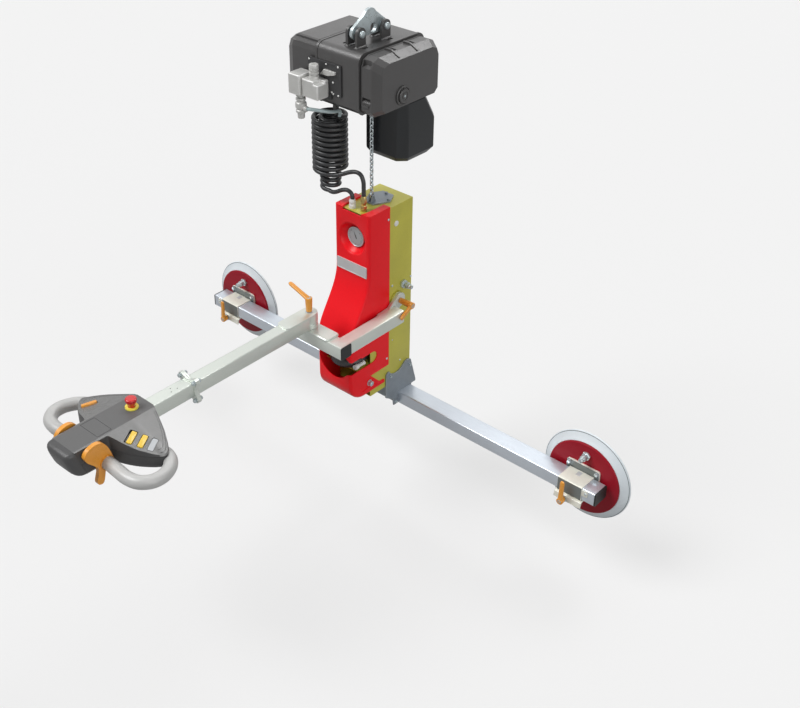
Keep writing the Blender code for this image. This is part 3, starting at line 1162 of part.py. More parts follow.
def make_thumb_levers(orange):
    """Two levers on the grips' roots: a big cheek above, a paddle below, a collar on the grip."""
    axis = joint_axis("thumb_axis", (SWIVEL_X, GRIP_ROOT_Y, GRIP_Z))
    cheek = ((0.019, -0.006), (0.018, 0.016), (0.010, 0.046), (-0.002, 0.072), (-0.022, 0.086), (-0.048, 0.085),
             (-0.070, 0.073), (-0.079, 0.056), (-0.070, 0.036), (-0.050, 0.018), (-0.030, -0.004))
    paddle = ((-0.034, -0.024), (-0.044, -0.058), (-0.036, -0.070), (-0.020, -0.067), (-0.008, -0.024))
    outline = [(GRIP_ROOT_Y + y, GRIP_Z + z) for y, z in cheek + paddle]
    for name, side in (("thumb_lever_left", -1), ("thumb_lever_right", 1)):
        near = SWIVEL_X + side * (GRIP_ROOT_X + 0.0005)
        far = near + side * THUMB_WIDTH
        end = far + side * THUMB_COLLAR_LENGTH
        lever = piece(name, prism(outline, "X", min(near, far), max(near, far)), orange, axis)
        collar = GRIP_RADIUS + THUMB_COLLAR_WALL
        fuse(lever, turned([(collar, near), (collar, far), (collar - 0.0012, end)], "X",
                           (GRIP_ROOT_Y, GRIP_Z), 20))
        bore = GRIP_RADIUS + 0.0008
        cut(lever, turned([(bore, near - side * 0.01), (bore, end + side * 0.01)], "X", (GRIP_ROOT_Y, GRIP_Z), 20))


def make_part():
    clear_scene()
    hoist_grey = finish("hoist_grey", (0.10, 0.105, 0.11), 0.5)
    bolt_steel = finish("plated_steel", (0.50, 0.56, 0.57), 0.35, 0.9)
    valve_light = finish("valve_light_grey", (0.45, 0.45, 0.43), 0.45)
    container_black = finish("container_black", (0.02, 0.022, 0.025), 0.5)
    chain_zinc = finish("chain_zinc", (0.62, 0.66, 0.67), 0.3, 1.0)
    bracket_blue = finish("bracket_blue_grey", (0.25, 0.29, 0.33), 0.45, 0.4)
    hose_black = finish("hose_black", (0.045, 0.045, 0.05), 0.4)
    tube_blue = finish("tube_blue_grey", (0.45, 0.58, 0.60), 0.35)
    brass = finish("brass", (0.55, 0.42, 0.22), 0.35, 0.9)
    white = finish("white_plastic", (0.85, 0.85, 0.86), 0.4)
    zinc_yellow = finish("housing_yellow_zinc", (0.33, 0.31, 0.08), 0.45, 0.3)
    cover_red = finish("cover_red", (0.80, 0.012, 0.02), 0.25)
    beam_steel = finish("beam_grey", (0.50, 0.55, 0.57), 0.4, 0.2)
    pale_grey = finish("tube_pale_grey", (0.60, 0.63, 0.59), 0.4, 0.1)
    black = finish("plug_black", (0.01, 0.012, 0.012), 0.45)
    pad_red = finish("pad_red", (0.28, 0.012, 0.02), 0.45)
    pad_rubber = finish("pad_pale_rubber", (0.62, 0.68, 0.70), 0.5)
    lever_orange = finish("lever_orange", (0.80, 0.36, 0.04), 0.35)
    handle_grey = finish("handle_grey", (0.16, 0.16, 0.16), 0.5)
    nose_dark = finish("nose_dark_grey", (0.10, 0.10, 0.10), 0.5)
    grip_grey = finish("grip_grey", (0.32, 0.32, 0.31), 0.5)
    button_yellow = finish("button_yellow", (0.85, 0.60, 0.08), 0.35)
    stop_red = finish("stop_red", (0.75, 0.01, 0.02), 0.3)
    make_hoist(hoist_grey, bolt_steel)
    make_valve(hoist_grey, valve_light)
    make_container(container_black)
    make_chain(chain_zinc, bracket_blue)
    make_coils(hose_black, tube_blue)
    make_glands(brass, white)
    make_housing(zinc_yellow)
    make_cover(cover_red)
    make_gauge(bolt_steel, black)
    make_inner_parts(bolt_steel, hoist_grey, hose_black)
    make_beam(beam_steel, black, bracket_blue)
    for side_name, side in (("left", -1), ("right", 1)):
        make_pad(side_name, side, beam_steel, pad_red, pad_rubber, bolt_steel, lever_orange)
    make_bracket(pale_grey, black, lever_orange)
    arm_axis = make_arm(pale_grey, lever_orange)
    make_handle(handle_grey, nose_dark, grip_grey, button_yellow, stop_red, lever_orange, arm_axis)


make_part()
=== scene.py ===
"""Vacuum panel lifter on a small chain hoist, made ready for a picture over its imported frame.

Metres, +Z up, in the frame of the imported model: the origin is the centre of the suspension eye, +X runs
along the pad beam and the operator stands on the -Y side.
"""
import json
from math import copysign, cos, exp, radians, sin, tau

import bmesh
import bpy
from mathutils import Matrix, Vector

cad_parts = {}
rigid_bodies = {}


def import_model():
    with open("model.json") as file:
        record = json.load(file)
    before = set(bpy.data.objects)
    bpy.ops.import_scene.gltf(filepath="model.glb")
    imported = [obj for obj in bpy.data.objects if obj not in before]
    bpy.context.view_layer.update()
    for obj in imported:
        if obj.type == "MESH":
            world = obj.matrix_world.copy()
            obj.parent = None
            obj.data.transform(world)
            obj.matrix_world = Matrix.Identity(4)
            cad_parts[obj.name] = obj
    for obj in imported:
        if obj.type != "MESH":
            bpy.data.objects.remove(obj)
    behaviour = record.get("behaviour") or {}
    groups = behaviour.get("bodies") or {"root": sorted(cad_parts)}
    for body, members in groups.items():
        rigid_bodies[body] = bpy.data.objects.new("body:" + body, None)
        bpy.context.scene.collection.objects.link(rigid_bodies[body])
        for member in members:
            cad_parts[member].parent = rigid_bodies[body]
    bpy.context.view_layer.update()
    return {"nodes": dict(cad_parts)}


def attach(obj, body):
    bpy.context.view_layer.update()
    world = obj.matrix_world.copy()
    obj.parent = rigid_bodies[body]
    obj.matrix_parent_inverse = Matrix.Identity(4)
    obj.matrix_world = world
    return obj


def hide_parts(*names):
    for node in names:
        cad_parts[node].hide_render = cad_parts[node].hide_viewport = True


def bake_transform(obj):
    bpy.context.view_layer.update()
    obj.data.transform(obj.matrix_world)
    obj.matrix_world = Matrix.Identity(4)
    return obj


for left_over in list(bpy.data.objects):
    bpy.data.objects.remove(left_over, do_unlink=True)
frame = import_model()


# Camera
# The lifter is seen from the operator's front right and from above, through a long lens that keeps the
# beam nearly parallel. The shift is the photograph's own framing.
def add(name, data):
    made = bpy.data.objects.new(name, data)
    bpy.context.collection.objects.link(made)
    return made


lens = bpy.data.cameras.new("camera")
lens.sensor_width = 36
lens.lens = 52.61
lens.shift_x = 0.0223
lens.shift_y = -0.0517
lens.clip_end = 50
camera = add("camera", lens)
camera.matrix_world = Matrix(((0.7454, -0.3592, 0.5616, 2.6048), (0.6666, 0.3948, -0.6323, -2.87),
    (0.0054, 0.8457, 0.5337, 1.2984), (0, 0, 0, 1)))
bpy.context.scene.camera = camera


# Air hose and control cable
# A spiral polyurethane hose and, inside it, a spiral rubber cable run from the hoist down to the deck. Each
# is
# one length: coil and lead. A short pale tube brings the air from the valve to the head of the outer coil.
HOSE = 0.016
COIL_CENTRE = (-0.14, -0.07)
COIL_TOP = -0.325
COIL_START = COIL_TOP - HOSE / 2
HOSE_TOP = (-0.081, -0.08)
CABLE_TOP = (-0.1075, -0.07)
STEPS_A_TURN = 24


def wire(tree, kind, values=None, **settings):
    """The outputs of a new shader node, whose inputs are set, or linked to another node's output."""
    made = tree.nodes.new("ShaderNode" + kind)
    for key, value in settings.items():
        setattr(made, key, value)
    for key, value in (values or {}).items():
        if isinstance(value, bpy.types.NodeSocket):
            tree.links.new(value, made.inputs[key])
        else:
            made.inputs[key].default_value = value
    return made.outputs


def reckon(tree, operation, *values, clamp=False):
    """The result of a math node."""
    return wire(tree, "Math", dict(enumerate(values)), operation=operation, use_clamp=clamp)[0]


def make_surface_group():
    """Patches of shade, fine grain, and a ragged mask where edges are rubbed bright and lightened as a
    painted highlight.
    """
    group = bpy.data.node_groups.new("surface", "ShaderNodeTree")
    for label, kind, value in (("Colour", "Color", (0.5, 0.5, 0.5, 1)), ("Shade", "Float", 0.1),
            ("Patch", "Float", 10.0), ("Grain", "Float", 900.0), ("Stretch", "Vector", (1, 1, 1)),
            ("Roughness", "Float", 0.4), ("Spread", "Float", 0.1), ("Wear_and_highlight", "Float", 0.0),
            ("Bare", "Color", (0.6, 0.6, 0.6, 1))):
        socket = group.interface.new_socket(label, in_out="INPUT", socket_type="NodeSocket" + kind)
        socket.default_value = value
    for label, kind in (("Colour", "Color"), ("Roughness", "Float"), ("Height", "Float")):
        group.interface.new_socket(label, in_out="OUTPUT", socket_type="NodeSocket" + kind)
    given = group.nodes.new("NodeGroupInput").outputs
    result = group.nodes.new("NodeGroupOutput").inputs
    spot = wire(group, "TexCoord")["Object"]
    drawn = wire(group, "VectorMath", {0: spot, 1: given["Stretch"]}, operation="MULTIPLY")[0]
    patch = wire(group, "TexNoise", {"Vector": spot, "Scale": given["Patch"], "Detail": 4.0})[0]
    grain = wire(group, "TexNoise", {"Vector": drawn, "Scale": given["Grain"], "Detail": 2.0})[0]
    both = reckon(group, "ADD", patch, grain)
    swing = wire(group, "MapRange", {"Value": both, "From Min": 0.7, "From Max": 1.3, "To Min": -0.5,
        "To Max": 0.5})[0]
    level = reckon(group, "MULTIPLY_ADD", swing, given["Shade"], 1.0)
    shaded = wire(group, "VectorMath", {0: given["Colour"], "Scale": level}, operation="SCALE")[0]
    ragged = wire(group, "MapRange", {"Value": both, "From Min": 0.75, "From Max": 1.15})[0]
    # The ragged mask lightens edges towards the edge colour: wear, and partly a painted highlight.
    worn_and_highlight = reckon(group, "MULTIPLY", ragged, given["Wear_and_highlight"], clamp=True)
    colour = wire(group, "MixRGB", {0: worn_and_highlight, 1: shaded, 2: given["Bare"]})[0]
    rough = reckon(group, "MULTIPLY_ADD", swing, given["Spread"], given["Roughness"], clamp=True)
    for label, made in (("Colour", colour), ("Roughness", rough), ("Height", grain)):
        group.links.new(made, result[label])
    return group


surface = make_surface_group()
worn_and_highlight_edges = {}


def finish(name, colour, roughness, shade, patch, grain, slot="", metallic=0.0, coat=0.0, shine=0.5,
        bump=0.15, edge_wear_and_highlight=0.0, **given):
    """A material: the surface group feeds a Principled shader. The slot argument is not used.

    Its tone strays by the shade, in patches and grain of so many to the metre. With edge wear and highlight,
    its edges get a copy that is rubbed bright and lightened as a painted highlight.
    """
    material = bpy.data.materials.new(name)
    material.use_nodes = True
    tree = material.node_tree
    shader = tree.nodes["Principled BSDF"].inputs
    for key, value in (("Metallic", metallic), ("Coat Weight", coat), ("Coat Roughness", 0.12),
            ("Specular IOR Level", shine)):
        shader[key].default_value = value
    made = tree.nodes.new("ShaderNodeGroup")
    made.name = "surface"
    made.node_tree = surface
    made.inputs["Colour"].default_value = (*colour, 1)
    for key, value in dict(given, roughness=roughness, shade=shade, patch=patch, grain=grain).items():
        made.inputs[key.capitalize()].default_value = (*value, 1) if key == "bare" else value
    bumped = wire(tree, "Bump", {"Height": made.outputs["Height"], "Strength": bump, "Distance": 0.0005})
    for output, key in ((made.outputs["Colour"], "Base Color"), (made.outputs["Roughness"], "Roughness"),
            (bumped["Normal"], "Normal")):
        tree.links.new(output, shader[key])
    if edge_wear_and_highlight:
        worn_and_highlight_edges[material] = material.copy()
        worn_and_highlight_edges[material].name = name + "_edge"
        worn_and_highlight_edges[material].node_tree.nodes["surface"].inputs["Wear_and_highlight"].default_value = edge_wear_and_highlight
    return material


def spline(points, steps):
    """A smooth curve through the points, with equal steps between each two."""
    path = [Vector(point) for point in points]
    path = [path[0] * 2 - path[1]] + path + [path[-1] * 2 - path[-2]]
    curve = []
    for before, start, end, after in zip(path, path[1:], path[2:], path[3:]):
        for step in range(steps):
            t = step / steps
            curve.append(0.5 * (2 * start + (end - before) * t + (2 * before - 5 * start + 4 * end - after)
                * t ** 2 + (3 * start - before - 3 * end + after) * t ** 3))
    curve.append(path[-2])
    return curve


def loft(rings, closed=False):
    """Skin a list of rings of points; open lofts get a flat cap at each end."""
    bm = bmesh.new()
    rows = [[bm.verts.new(point) for point in ring] for ring in rings]
    for lower, upper in zip(rows, rows[1:] + rows[:1] if closed else rows[1:]):
        for i in range(len(lower)):
            j = (i + 1) % len(lower)
            bm.faces.new((lower[i], lower[j], upper[j], upper[i]))
    if not closed:
        bm.faces.new(rows[0])
        bm.faces.new(rows[-1])
    bmesh.ops.recalc_face_normals(bm, faces=bm.faces)
    return bm


def sweep(path, radius, sides):
    """A round bar along a path, its sections carried along without twist."""
    rings = []
    side = None
    for i, point in enumerate(path):
        ahead = (path[min(i + 1, len(path) - 1)] - path[max(i - 1, 0)]).normalized()
        if side is None:
            side = Vector((0, 0, 1)) if abs(ahead.z) < 0.9 else Vector((0, 1, 0))
        side = (side - ahead * side.dot(ahead)).normalized()
        other = ahead.cross(side)
        rings.append([point + radius * (side * cos(tau * k / sides) + other * sin(tau * k / sides))
            for k in range(sides)])
    return loft(rings)


def as_mesh(name, bm):
    mesh = bpy.data.meshes.new(name)
    bm.to_mesh(mesh)
    bm.free()
    return mesh


def piece(name, bm, material, body="lifter", replaces=(), bevel=0.0, segments=2, smooth=30):
    """One named piece in its place, with its finish, its body and the solids that it stands for."""
    mesh = as_mesh(name, bm)
    mesh.materials.append(material)
    mesh.shade_smooth()
    mesh.set_sharp_from_angle(angle=radians(smooth))
    made = add(name, mesh)
    if bevel:
        edges = made.modifiers.new("edges", "BEVEL")
        edges.width = bevel
        edges.segments = segments
        edges.limit_method = "ANGLE"
        edges.angle_limit = radians(min(32, smooth + 9))
        edges.harden_normals = True
        # Bevelled edges take the lighter edge copy: rubbed bright, and partly a painted highlight.
        if material in worn_and_highlight_edges:
            mesh.materials.append(worn_and_highlight_edges[material])
            edges.material = 1
    if body:
        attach(made, body)
    if replaces:
        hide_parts(*([replaces] if isinstance(replaces, str) else replaces))
    return made


def around(centre, radius, turn):
    """The two numbers of a point on a circle."""
    return (centre[0] + radius * cos(turn), centre[1] + radius * sin(turn))


def coil_route(radius, head, start, turns, end):
    """From the coil's head straight down, then round and round to the lead's level."""
    path = [Vector((*head, COIL_TOP))]
    count = round(turns * STEPS_A_TURN)
    for i in range(2, count + 1):
        path.append(Vector((*around(COIL_CENTRE, radius, radians(start) + tau * turns * i / count),
            COIL_START + (end - COIL_START) * i / count)))
    return path


def supply_line(name, route, nodes):
    """A coiled line that stretches between the hoist and the deck."""
    made = piece(name, sweep(route, HOSE / 2, 14), hose_black, None, nodes)
    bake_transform(made)


hose_black = finish("hose_black", (0.034, 0.035, 0.037), 0.38, 0.25, 30, 700, coat=0.1)
tube_blue = finish("tube_blue", (0.44, 0.54, 0.55), 0.32, 0.12, 25, 500, "tube_blue_grey", coat=0.3)
feed_route = spline(((-0.1448, -0.1836, -0.281), (-0.1208, -0.1776, -0.279), (-0.0928, -0.1536, -0.284),
    (-0.0768, -0.1216, -0.293), (*HOSE_TOP, -0.303), (*HOSE_TOP, -0.323)), 6)
feed = piece("feed_tube", sweep(feed_route, 0.0065, 20), tube_blue, "hoist", "air_feed_tube")

drop = -0.5443
air_route = coil_route(0.059, HOSE_TOP, -9.6, 11 - 50.4 / 360, drop)
air_route += spline(((-0.1105, -0.1211, drop), (-0.086, -0.108, drop - 0.001),
    (-0.062, -0.093, drop + 0.006), (-0.036, -0.081, drop + 0.018), (-0.01, -0.074, drop + 0.025),
    (0.012, -0.071, drop + 0.019), (0.0235, -0.07, drop - 0.004), (0.025, -0.07, drop - 0.032),
    (0.025, -0.07, -0.6037)), 4)[1:]
supply_line("air_hose", air_route, ("air_hose_coil", "air_hose_lead"))
drop = -0.6203
cable_route = coil_route(0.0325, CABLE_TOP, 0, 14 - 60 / 360, drop)
cable_route += spline(((-0.12375, -0.09815, drop), (-0.106, -0.099, drop - 0.001),
    (-0.088, -0.096, drop + 0.004), (-0.066, -0.088, drop + 0.016), (-0.046, -0.082, drop + 0.02),
    (-0.03, -0.079, drop + 0.013), (-0.024, -0.078, drop + 0.001), (-0.024, -0.078, -0.6287)), 4)[1:]
supply_line("control_cable", cable_route, ("cable_coil", "cable_lead"))


# Suspension
# A flat arch of zinc-plated plate carries the load eye. Two bolts hold it between pairs of lugs that are
# welded to the hoist, with a sleeve each side of the plate to keep it central.
def place(pair, along, level):
    """A point from an outline's two numbers and its level along the third axis."""
    point = [level, level, level]
    for axis, value in zip([i for i in range(3) if i != "XYZ".index(along)], pair):
        point[axis] = value
    return Vector(point)


def stack(layers, along, closed=False):
    """Skin outlines, each at its own level along an axis."""
    return loft([[place(pair, along, level) for pair in outline] for outline, level in layers], closed)


def prism(outline, along, low, high):
    return stack(((outline, low), (outline, high)), along)


def box(low, high):
    outline = [(low[0], low[1]), (high[0], low[1]), (high[0], high[1]), (low[0], high[1])]
    return prism(outline, "Z", low[2], high[2])


def turned(profile, along, centre, sides=48):
    """Revolve (radius, level) pairs about an axis through the centre."""
    return stack([([around(centre, radius, tau * i / sides) for i in range(sides)], level)
        for radius, level in profile], along)


def rod(radius, low, high, along, centre, sides=48):
    return turned([(radius, low), (radius, high)], along, centre, sides)


def arc(centre, radius, start, end, steps):
    """Points on an arc, angles in degrees."""
    return [around(centre, radius, radians(start + (end - start) * i / steps)) for i in range(steps + 1)]


def rounded(low, high, radius, steps=4):
    """A rectangle with round corners."""
    outline = []
    for x, y, turn in ((high[0] - radius, high[1] - radius, 0), (low[0] + radius, high[1] - radius, 90),
            (low[0] + radius, low[1] + radius, 180), (high[0] - radius, low[1] + radius, 270)):
        outline += arc((x, y), radius, turn, turn + 90, steps)
    return outline


def shaped(base, cuts=(), joins=()):
    """A solid with others joined to it and then others cut from it, as one mesh."""
    made = [add("shaping", as_mesh("shaping", part)) for part in (base, *joins, *cuts)]
    for i, tool in enumerate(made[1:]):
        step = made[0].modifiers.new("step", "BOOLEAN")
        step.operation = "UNION" if i < len(joins) else "DIFFERENCE"
        step.solver = "EXACT"
        step.object = tool
    bpy.context.view_layer.update()
    result = bmesh.new()
    result.from_mesh(made[0].evaluated_get(bpy.context.evaluated_depsgraph_get()).data)
    for part in made:
        bpy.data.objects.remove(part, do_unlink=True)
    bmesh.ops.remove_doubles(result, verts=result.verts, dist=0.00001)
    bmesh.ops.dissolve_limit(result, angle_limit=radians(0.5), verts=result.verts, edges=result.edges)
    return result


def together(*parts):
    """Separate shapes of one piece in one mesh."""
    result = parts[0]
    for part in parts[1:]:
        mesh = as_mesh("joining", part)
        result.from_mesh(mesh)
        bpy.data.meshes.remove(mesh)
    return result


SIDES = ((-1, "left"), (1, "right"))
BOLT_LINES = (("front", -0.08), ("rear", 0.045))
plated = finish("plated_steel", (0.56, 0.63, 0.65), 0.3, 0.3, 40, 900, metallic=0.65)
outline = arc((0.045, 0), 0.025, -60, 65, 16)
outline += arc((-0.012, 0.038), 0.032, 30, 150, 24)
outline += arc((-0.08, 0), 0.025, 115, 240, 16)
plate = shaped(prism(outline, "X", -0.006, 0.006), [rod(0.018, -0.05, 0.05, "X", (0, 0))])
piece("eye_plate", plate, plated, "hoist", "suspension_plate", bevel=0.0012)
liner = shaped(rod(0.0179, -0.0064, 0.0064, "X", (0, 0)), [rod(0.0164, -0.05, 0.05, "X", (0, 0))])
piece("eye_liner", liner, plated, "hoist", bevel=0.0004)
piece("plate_pin", turned([(0.0032, -0.0085), (0.004, -0.008), (0.004, 0.008), (0.0032, 0.0085)], "X",
    (-0.03, 0.045), 24), plated, "hoist")
for where, y in BOLT_LINES:
    for side, hand in SIDES:
        piece("sleeve_%s_%s" % (where, hand), rod(0.0125, side * 0.0061, side * 0.0162, "X", (y, 0)),
            plated, "hoist", bevel=0.0006)
    bolt = turned([(0.004, -0.0366), (0.0085, -0.036), (0.0118, -0.0335), (0.0125, -0.03),
        (0.0125, -0.0268), (0.0075, -0.0268), (0.0075, 0.0268), (0.0125, 0.0268), (0.0125, 0.0305),
        (0.0118, 0.0345), (0.0088, 0.0362), (0.004, 0.0368)], "X", (y, 0))
    piece("eye_bolt_" + where, bolt, plated, "hoist", "suspension_bolt_" + where, smooth=60)


# Hoist casing
# A cast aluminium middle with rolled top edges, powder coated dark grey, and a moulded cover on each end.
# The lugs stand on welded feet, with a drain slot beside each pair.
HOIST_TOP = -0.045
HOIST_BOTTOM = -0.26
hoist_grey = finish("hoist_grey", (0.058, 0.056, 0.056), 0.35, 0.14, 18, 1100, shine=0.85, bump=0.3)


def hoist_outline(inset, steps):
    """Side view of the casing, Y and Z, with rolled upper edges and cut lower ones."""
    roll = 0.034
    cut = 0.017
    front = -0.145 + inset
    back = 0.19 - inset
    top = HOIST_TOP - inset
    bottom = HOIST_BOTTOM + inset
    return [(front, bottom + cut), *arc((front + roll, top - roll), roll, 180, 90, steps),
        *arc((back - roll, top - roll), roll, 90, 0, steps), (back, bottom + cut), (back - cut, bottom),
        (front + cut, bottom)]


joins = []
cuts = [box((-0.012, -0.012, -0.27), (0.012, 0.012, -0.084))]
for _, y in BOLT_LINES:
    for x in (-0.0265, 0.0165):
        lug = [(y - 0.022, HOIST_TOP - 0.004), *arc((y, 0), 0.022, 180, 0, 20),
            (y + 0.022, HOIST_TOP - 0.004)]
        joins.append(prism(lug, "X", x, x + 0.01))
        joins.append(stack([(rounded((x - grow, y - 0.022 - grow), (x + 0.01 + grow, y + 0.022 + grow),
            0.004), HOIST_TOP + rise) for rise, grow in ((-0.002, 0.0045), (0.0015, 0.004),
            (0.0045, 0.0006))], "Z"))
    cuts.append(rod(0.0079, -0.05, 0.05, "X", (y, 0), 32))
    for x in (-0.052, 0.036):
        cuts.append(prism(rounded((x, y - 0.012), (x + 0.01, y + 0.016), 0.0045), "Z", HOIST_TOP - 0.004,
            HOIST_TOP + 0.001))
for x in (-0.129, 0.064):
    joins.append(prism(hoist_outline(-0.0016, 14), "X", x, x + 0.01))
joins.append(turned([(0.011, HOIST_BOTTOM + 0.004), (0.011, COIL_TOP + 0.022), (0.0095, COIL_TOP + 0.014),
    (0.0092, COIL_TOP + 0.0003)], "Z", CABLE_TOP, 32))
casing = shaped(prism(hoist_outline(0, 14), "X", -0.13, 0.075), cuts, joins)
piece("hoist_casing", casing, hoist_grey, "hoist", "hoist_housing", bevel=0.0012)


def end_cover(name, node, inner, outer, cuts, joins=()):
    """A moulded end: full section at the joint and a broad chamfer round its outer face."""
    towards = 1 if outer > inner else -1
    cover = stack([(hoist_outline(inset, 2), level) for level, inset in ((inner, 0.0075),
        (inner + towards * 0.004, 0.0075), (inner + towards * 0.0045, 0.005),
        (outer - towards * 0.034, 0.005), (outer - towards * 0.001, 0.0215), (outer, 0.022))], "X")
    piece(name, shaped(cover, cuts, joins), hoist_grey, "hoist", node, bevel=0.0014, segments=3, smooth=13)


CAP = (-0.02, -0.197)
joins = []
cuts = [stack([([(-0.152, -0.06), (-0.128 - grow, -0.056 - grow), (-0.126 - grow, -0.078 + grow),
    (-0.152, -0.09 + grow)], level) for level, grow in ((0.084, 0.0), (0.09, 0.0), (0.116, 0.0),
    (0.121, 0.004))], "X"), prism([(-0.152, -0.187), (-0.134, -0.19), (-0.13, -0.199), (-0.152, -0.214)],
    "X", 0.084, 0.121), box((0.087, -0.112, HOIST_TOP - 0.0075), (0.0895, 0.17, HOIST_TOP + 0.001))]
for y in (-0.034, 0.06):
    joins.append(prism([(0.0895, -0.0435), (0.118, -0.0435), (0.129, -0.048), (0.154, -0.06),
        (0.154, -0.066), (0.0895, -0.06)], "Y", y, y + 0.006))
    cuts.append(prism(rounded((0.095, y + 0.0062), (0.118, y + 0.03), 0.004), "Z", HOIST_TOP - 0.0085,
        HOIST_TOP + 0.001))
joins.append(prism(rounded((0.084, -0.2215), (0.114, -0.2135), 0.003), "Y", -0.145, -0.134))
joins.append(turned([(0.0345, 0.15), (0.0345, 0.164), (0.0325, 0.1662), (0.03, 0.1662), (0.0285, 0.163),
    (0.0262, 0.163), (0.025, 0.17), (0.0232, 0.1712), (0.016, 0.1712), (0.0148, 0.169), (0.0112, 0.169),
    (0.01, 0.1712), (0.006, 0.1714)], "X", CAP, 56))
end_cover("hoist_end_right", "hoist_cover_right", 0.0753, 0.16, cuts, joins)
piece("cap_screw", turned([(0.0042, 0.1705), (0.0042, 0.1719), (0.003, 0.1719), (0.0012, 0.1719)], "X", CAP,
    24), plated, "hoist")
end_cover("hoist_end_left", "hoist_cover_left", -0.1303, -0.28,
    [prism([(-0.155, -0.067), (-0.155, -0.035), (-0.113, -0.035), (-0.113, -0.06), (-0.127, -0.067)], "X",
    -0.262, -0.139), box((-0.1445, -0.112, HOIST_TOP - 0.0075), (-0.142, 0.17, HOIST_TOP + 0.001))])


# Control valve
# A dark base plate on the hoist's front carries two blasted aluminium blocks. The left one has the air
# coupling on its underside, the right one a ringed plug on top. White plastic caps cover the plate's screws.
valve_light = finish("valve_light", (0.62, 0.62, 0.6), 0.36, 0.14, 30, 1500, "valve_light_grey",
    metallic=0.25, bump=0.35, edge_wear_and_highlight=0.9, bare=(0.88, 0.88, 0.87))
valve_dark = finish("valve_dark", (0.045, 0.045, 0.047), 0.45, 0.2, 25, 1200, "hoist_grey", bump=0.25)
white_cap = finish("white_cap", (0.82, 0.82, 0.8), 0.35, 0.06, 40, 800, "white_plastic")


def across_flats(width, along, centre, low, high, turn=0.0):
    """A hexagon with its corners turned down at both ends."""
    corner = width / 1.732
    step = 0.06 * width * (1 if high > low else -1)
    return stack([([around(centre, share, radians(turn + 60 * i)) for i in range(6)], level)
        for share, level in ((corner * 0.93, low), (corner, low + step), (corner, high - step),
        (corner * 0.93, high))], along)


def valve_part(name, bm, node=(), **edge):
    piece(name, bm, valve_light, "hoist", node, **edge)


BASE_FRONT = -0.1506
BLOCK_LOW = -0.225
base = shaped(box((-0.161, -0.1503, -0.233), (-0.005, -0.1453, -0.101)),
    [box((-0.052, -0.16, -0.24), (0, -0.14, -0.214))])
piece("valve_base", base, valve_dark, "hoist", "valve_plate", bevel=0.0009)
valve_part("valve_wedge", prism([(-0.094, -0.146), (-0.078, -0.126), (-0.026, -0.126), (-0.026, -0.136),
    (-0.06, -0.146)], "Y", -0.16, BASE_FRONT), bevel=0.0012)
for i, (x, z) in enumerate(((-0.154, -0.109), (-0.073, -0.109), (-0.017, -0.107), (-0.041, -0.167),
        (-0.047, -0.204), (-0.04, -0.208), (-0.017, -0.209))):
    piece("valve_screw_%d" % i, turned([(0.0034, -0.15), (0.0034, -0.152), (0.0024, -0.153),
        (0.001, -0.1533)], "Y", (x, z), 20), white_cap, "hoist")
at = (-0.1675, BASE_FRONT - 0.033)
coupling = turned([(radius, BLOCK_LOW - down) for radius, down in ((0.011, 0), (0.011, 0.018),
    (0.0172, 0.02), (0.0184, 0.026), (0.015, 0.03), (0.015, 0.034), (0.02, 0.038), (0.0207, 0.046),
    (0.02, 0.055), (0.016, 0.059), (0.016, 0.062), (0.0186, 0.065), (0.018, 0.073), (0.013, 0.078),
    (0.013, 0.092), (0.0116, 0.0958), (0.007, 0.096))], "Z", at, 40)
valve_part("valve_left", box((-0.195, BASE_FRONT - 0.066, BLOCK_LOW), (-0.14, BASE_FRONT, -0.151)),
    "valve_block_left", bevel=0.0045, segments=4)
valve_part("air_coupling", together(across_flats(0.03, "Z", at, BLOCK_LOW - 0.001, BLOCK_LOW - 0.013),
    coupling), smooth=35)
socket = turned([(0.0085, 0.012), (0.0105, 0.01), (0.0105, 0.0), (0.008, -0.004)], "X", (0, 0), 28)
bmesh.ops.translate(socket, vec=(-0.149, -0.1836, -0.281), verts=socket.verts)
valve_part("tube_socket", socket)
valve_part("valve_right", shaped(box((-0.1397, BASE_FRONT - 0.056, BLOCK_LOW),
    (-0.0617, BASE_FRONT, -0.161)), [box((-0.083, BASE_FRONT - 0.06, -0.171),
    (-0.055, BASE_FRONT - 0.02, -0.15))]), "valve_block_right", bevel=0.0045, segments=4)
valve_part("ringed_plug", turned([(0.0184, -0.162), (0.0184, -0.152), (0.0176, -0.15), (0.0135, -0.149),
    (0.0135, -0.144), (0.0178, -0.1425), (0.0182, -0.139), (0.0178, -0.136), (0.0135, -0.1345),
    (0.0135, -0.1305), (0.0172, -0.129), (0.0174, -0.1255), (0.015, -0.124), (0.0168, -0.1225),
    (0.0168, -0.1125), (0.0156, -0.1096), (0.013, -0.1092), (0.0118, -0.1096), (0.0062, -0.1096),
    (0.0056, -0.115), (0.0018, -0.1155)], "Z", (-0.1046, BASE_FRONT - 0.028)), smooth=35)


# Chain container
# A black blow-moulded bucket hangs behind the chain and takes up its slack end. Its corners are cut and it
# narrows towards the hoist.
container_black = finish("container_black", (0.013, 0.015, 0.017), 0.36, 0.2, 12, 1000, bump=0.2)


def bucket_outline(inset, back_inset, front_cut):
    left = -0.058 + inset
    right = 0.13 - inset
    front = 0.02 + inset
    back = 0.222 - inset - back_inset
    return [(left + 0.015, front), (right - front_cut, front), (right, front + front_cut),
        (right, back - 0.03), (right - 0.03, back), (left + 0.03, back), (left, back - 0.03),
        (left, front + 0.015)]


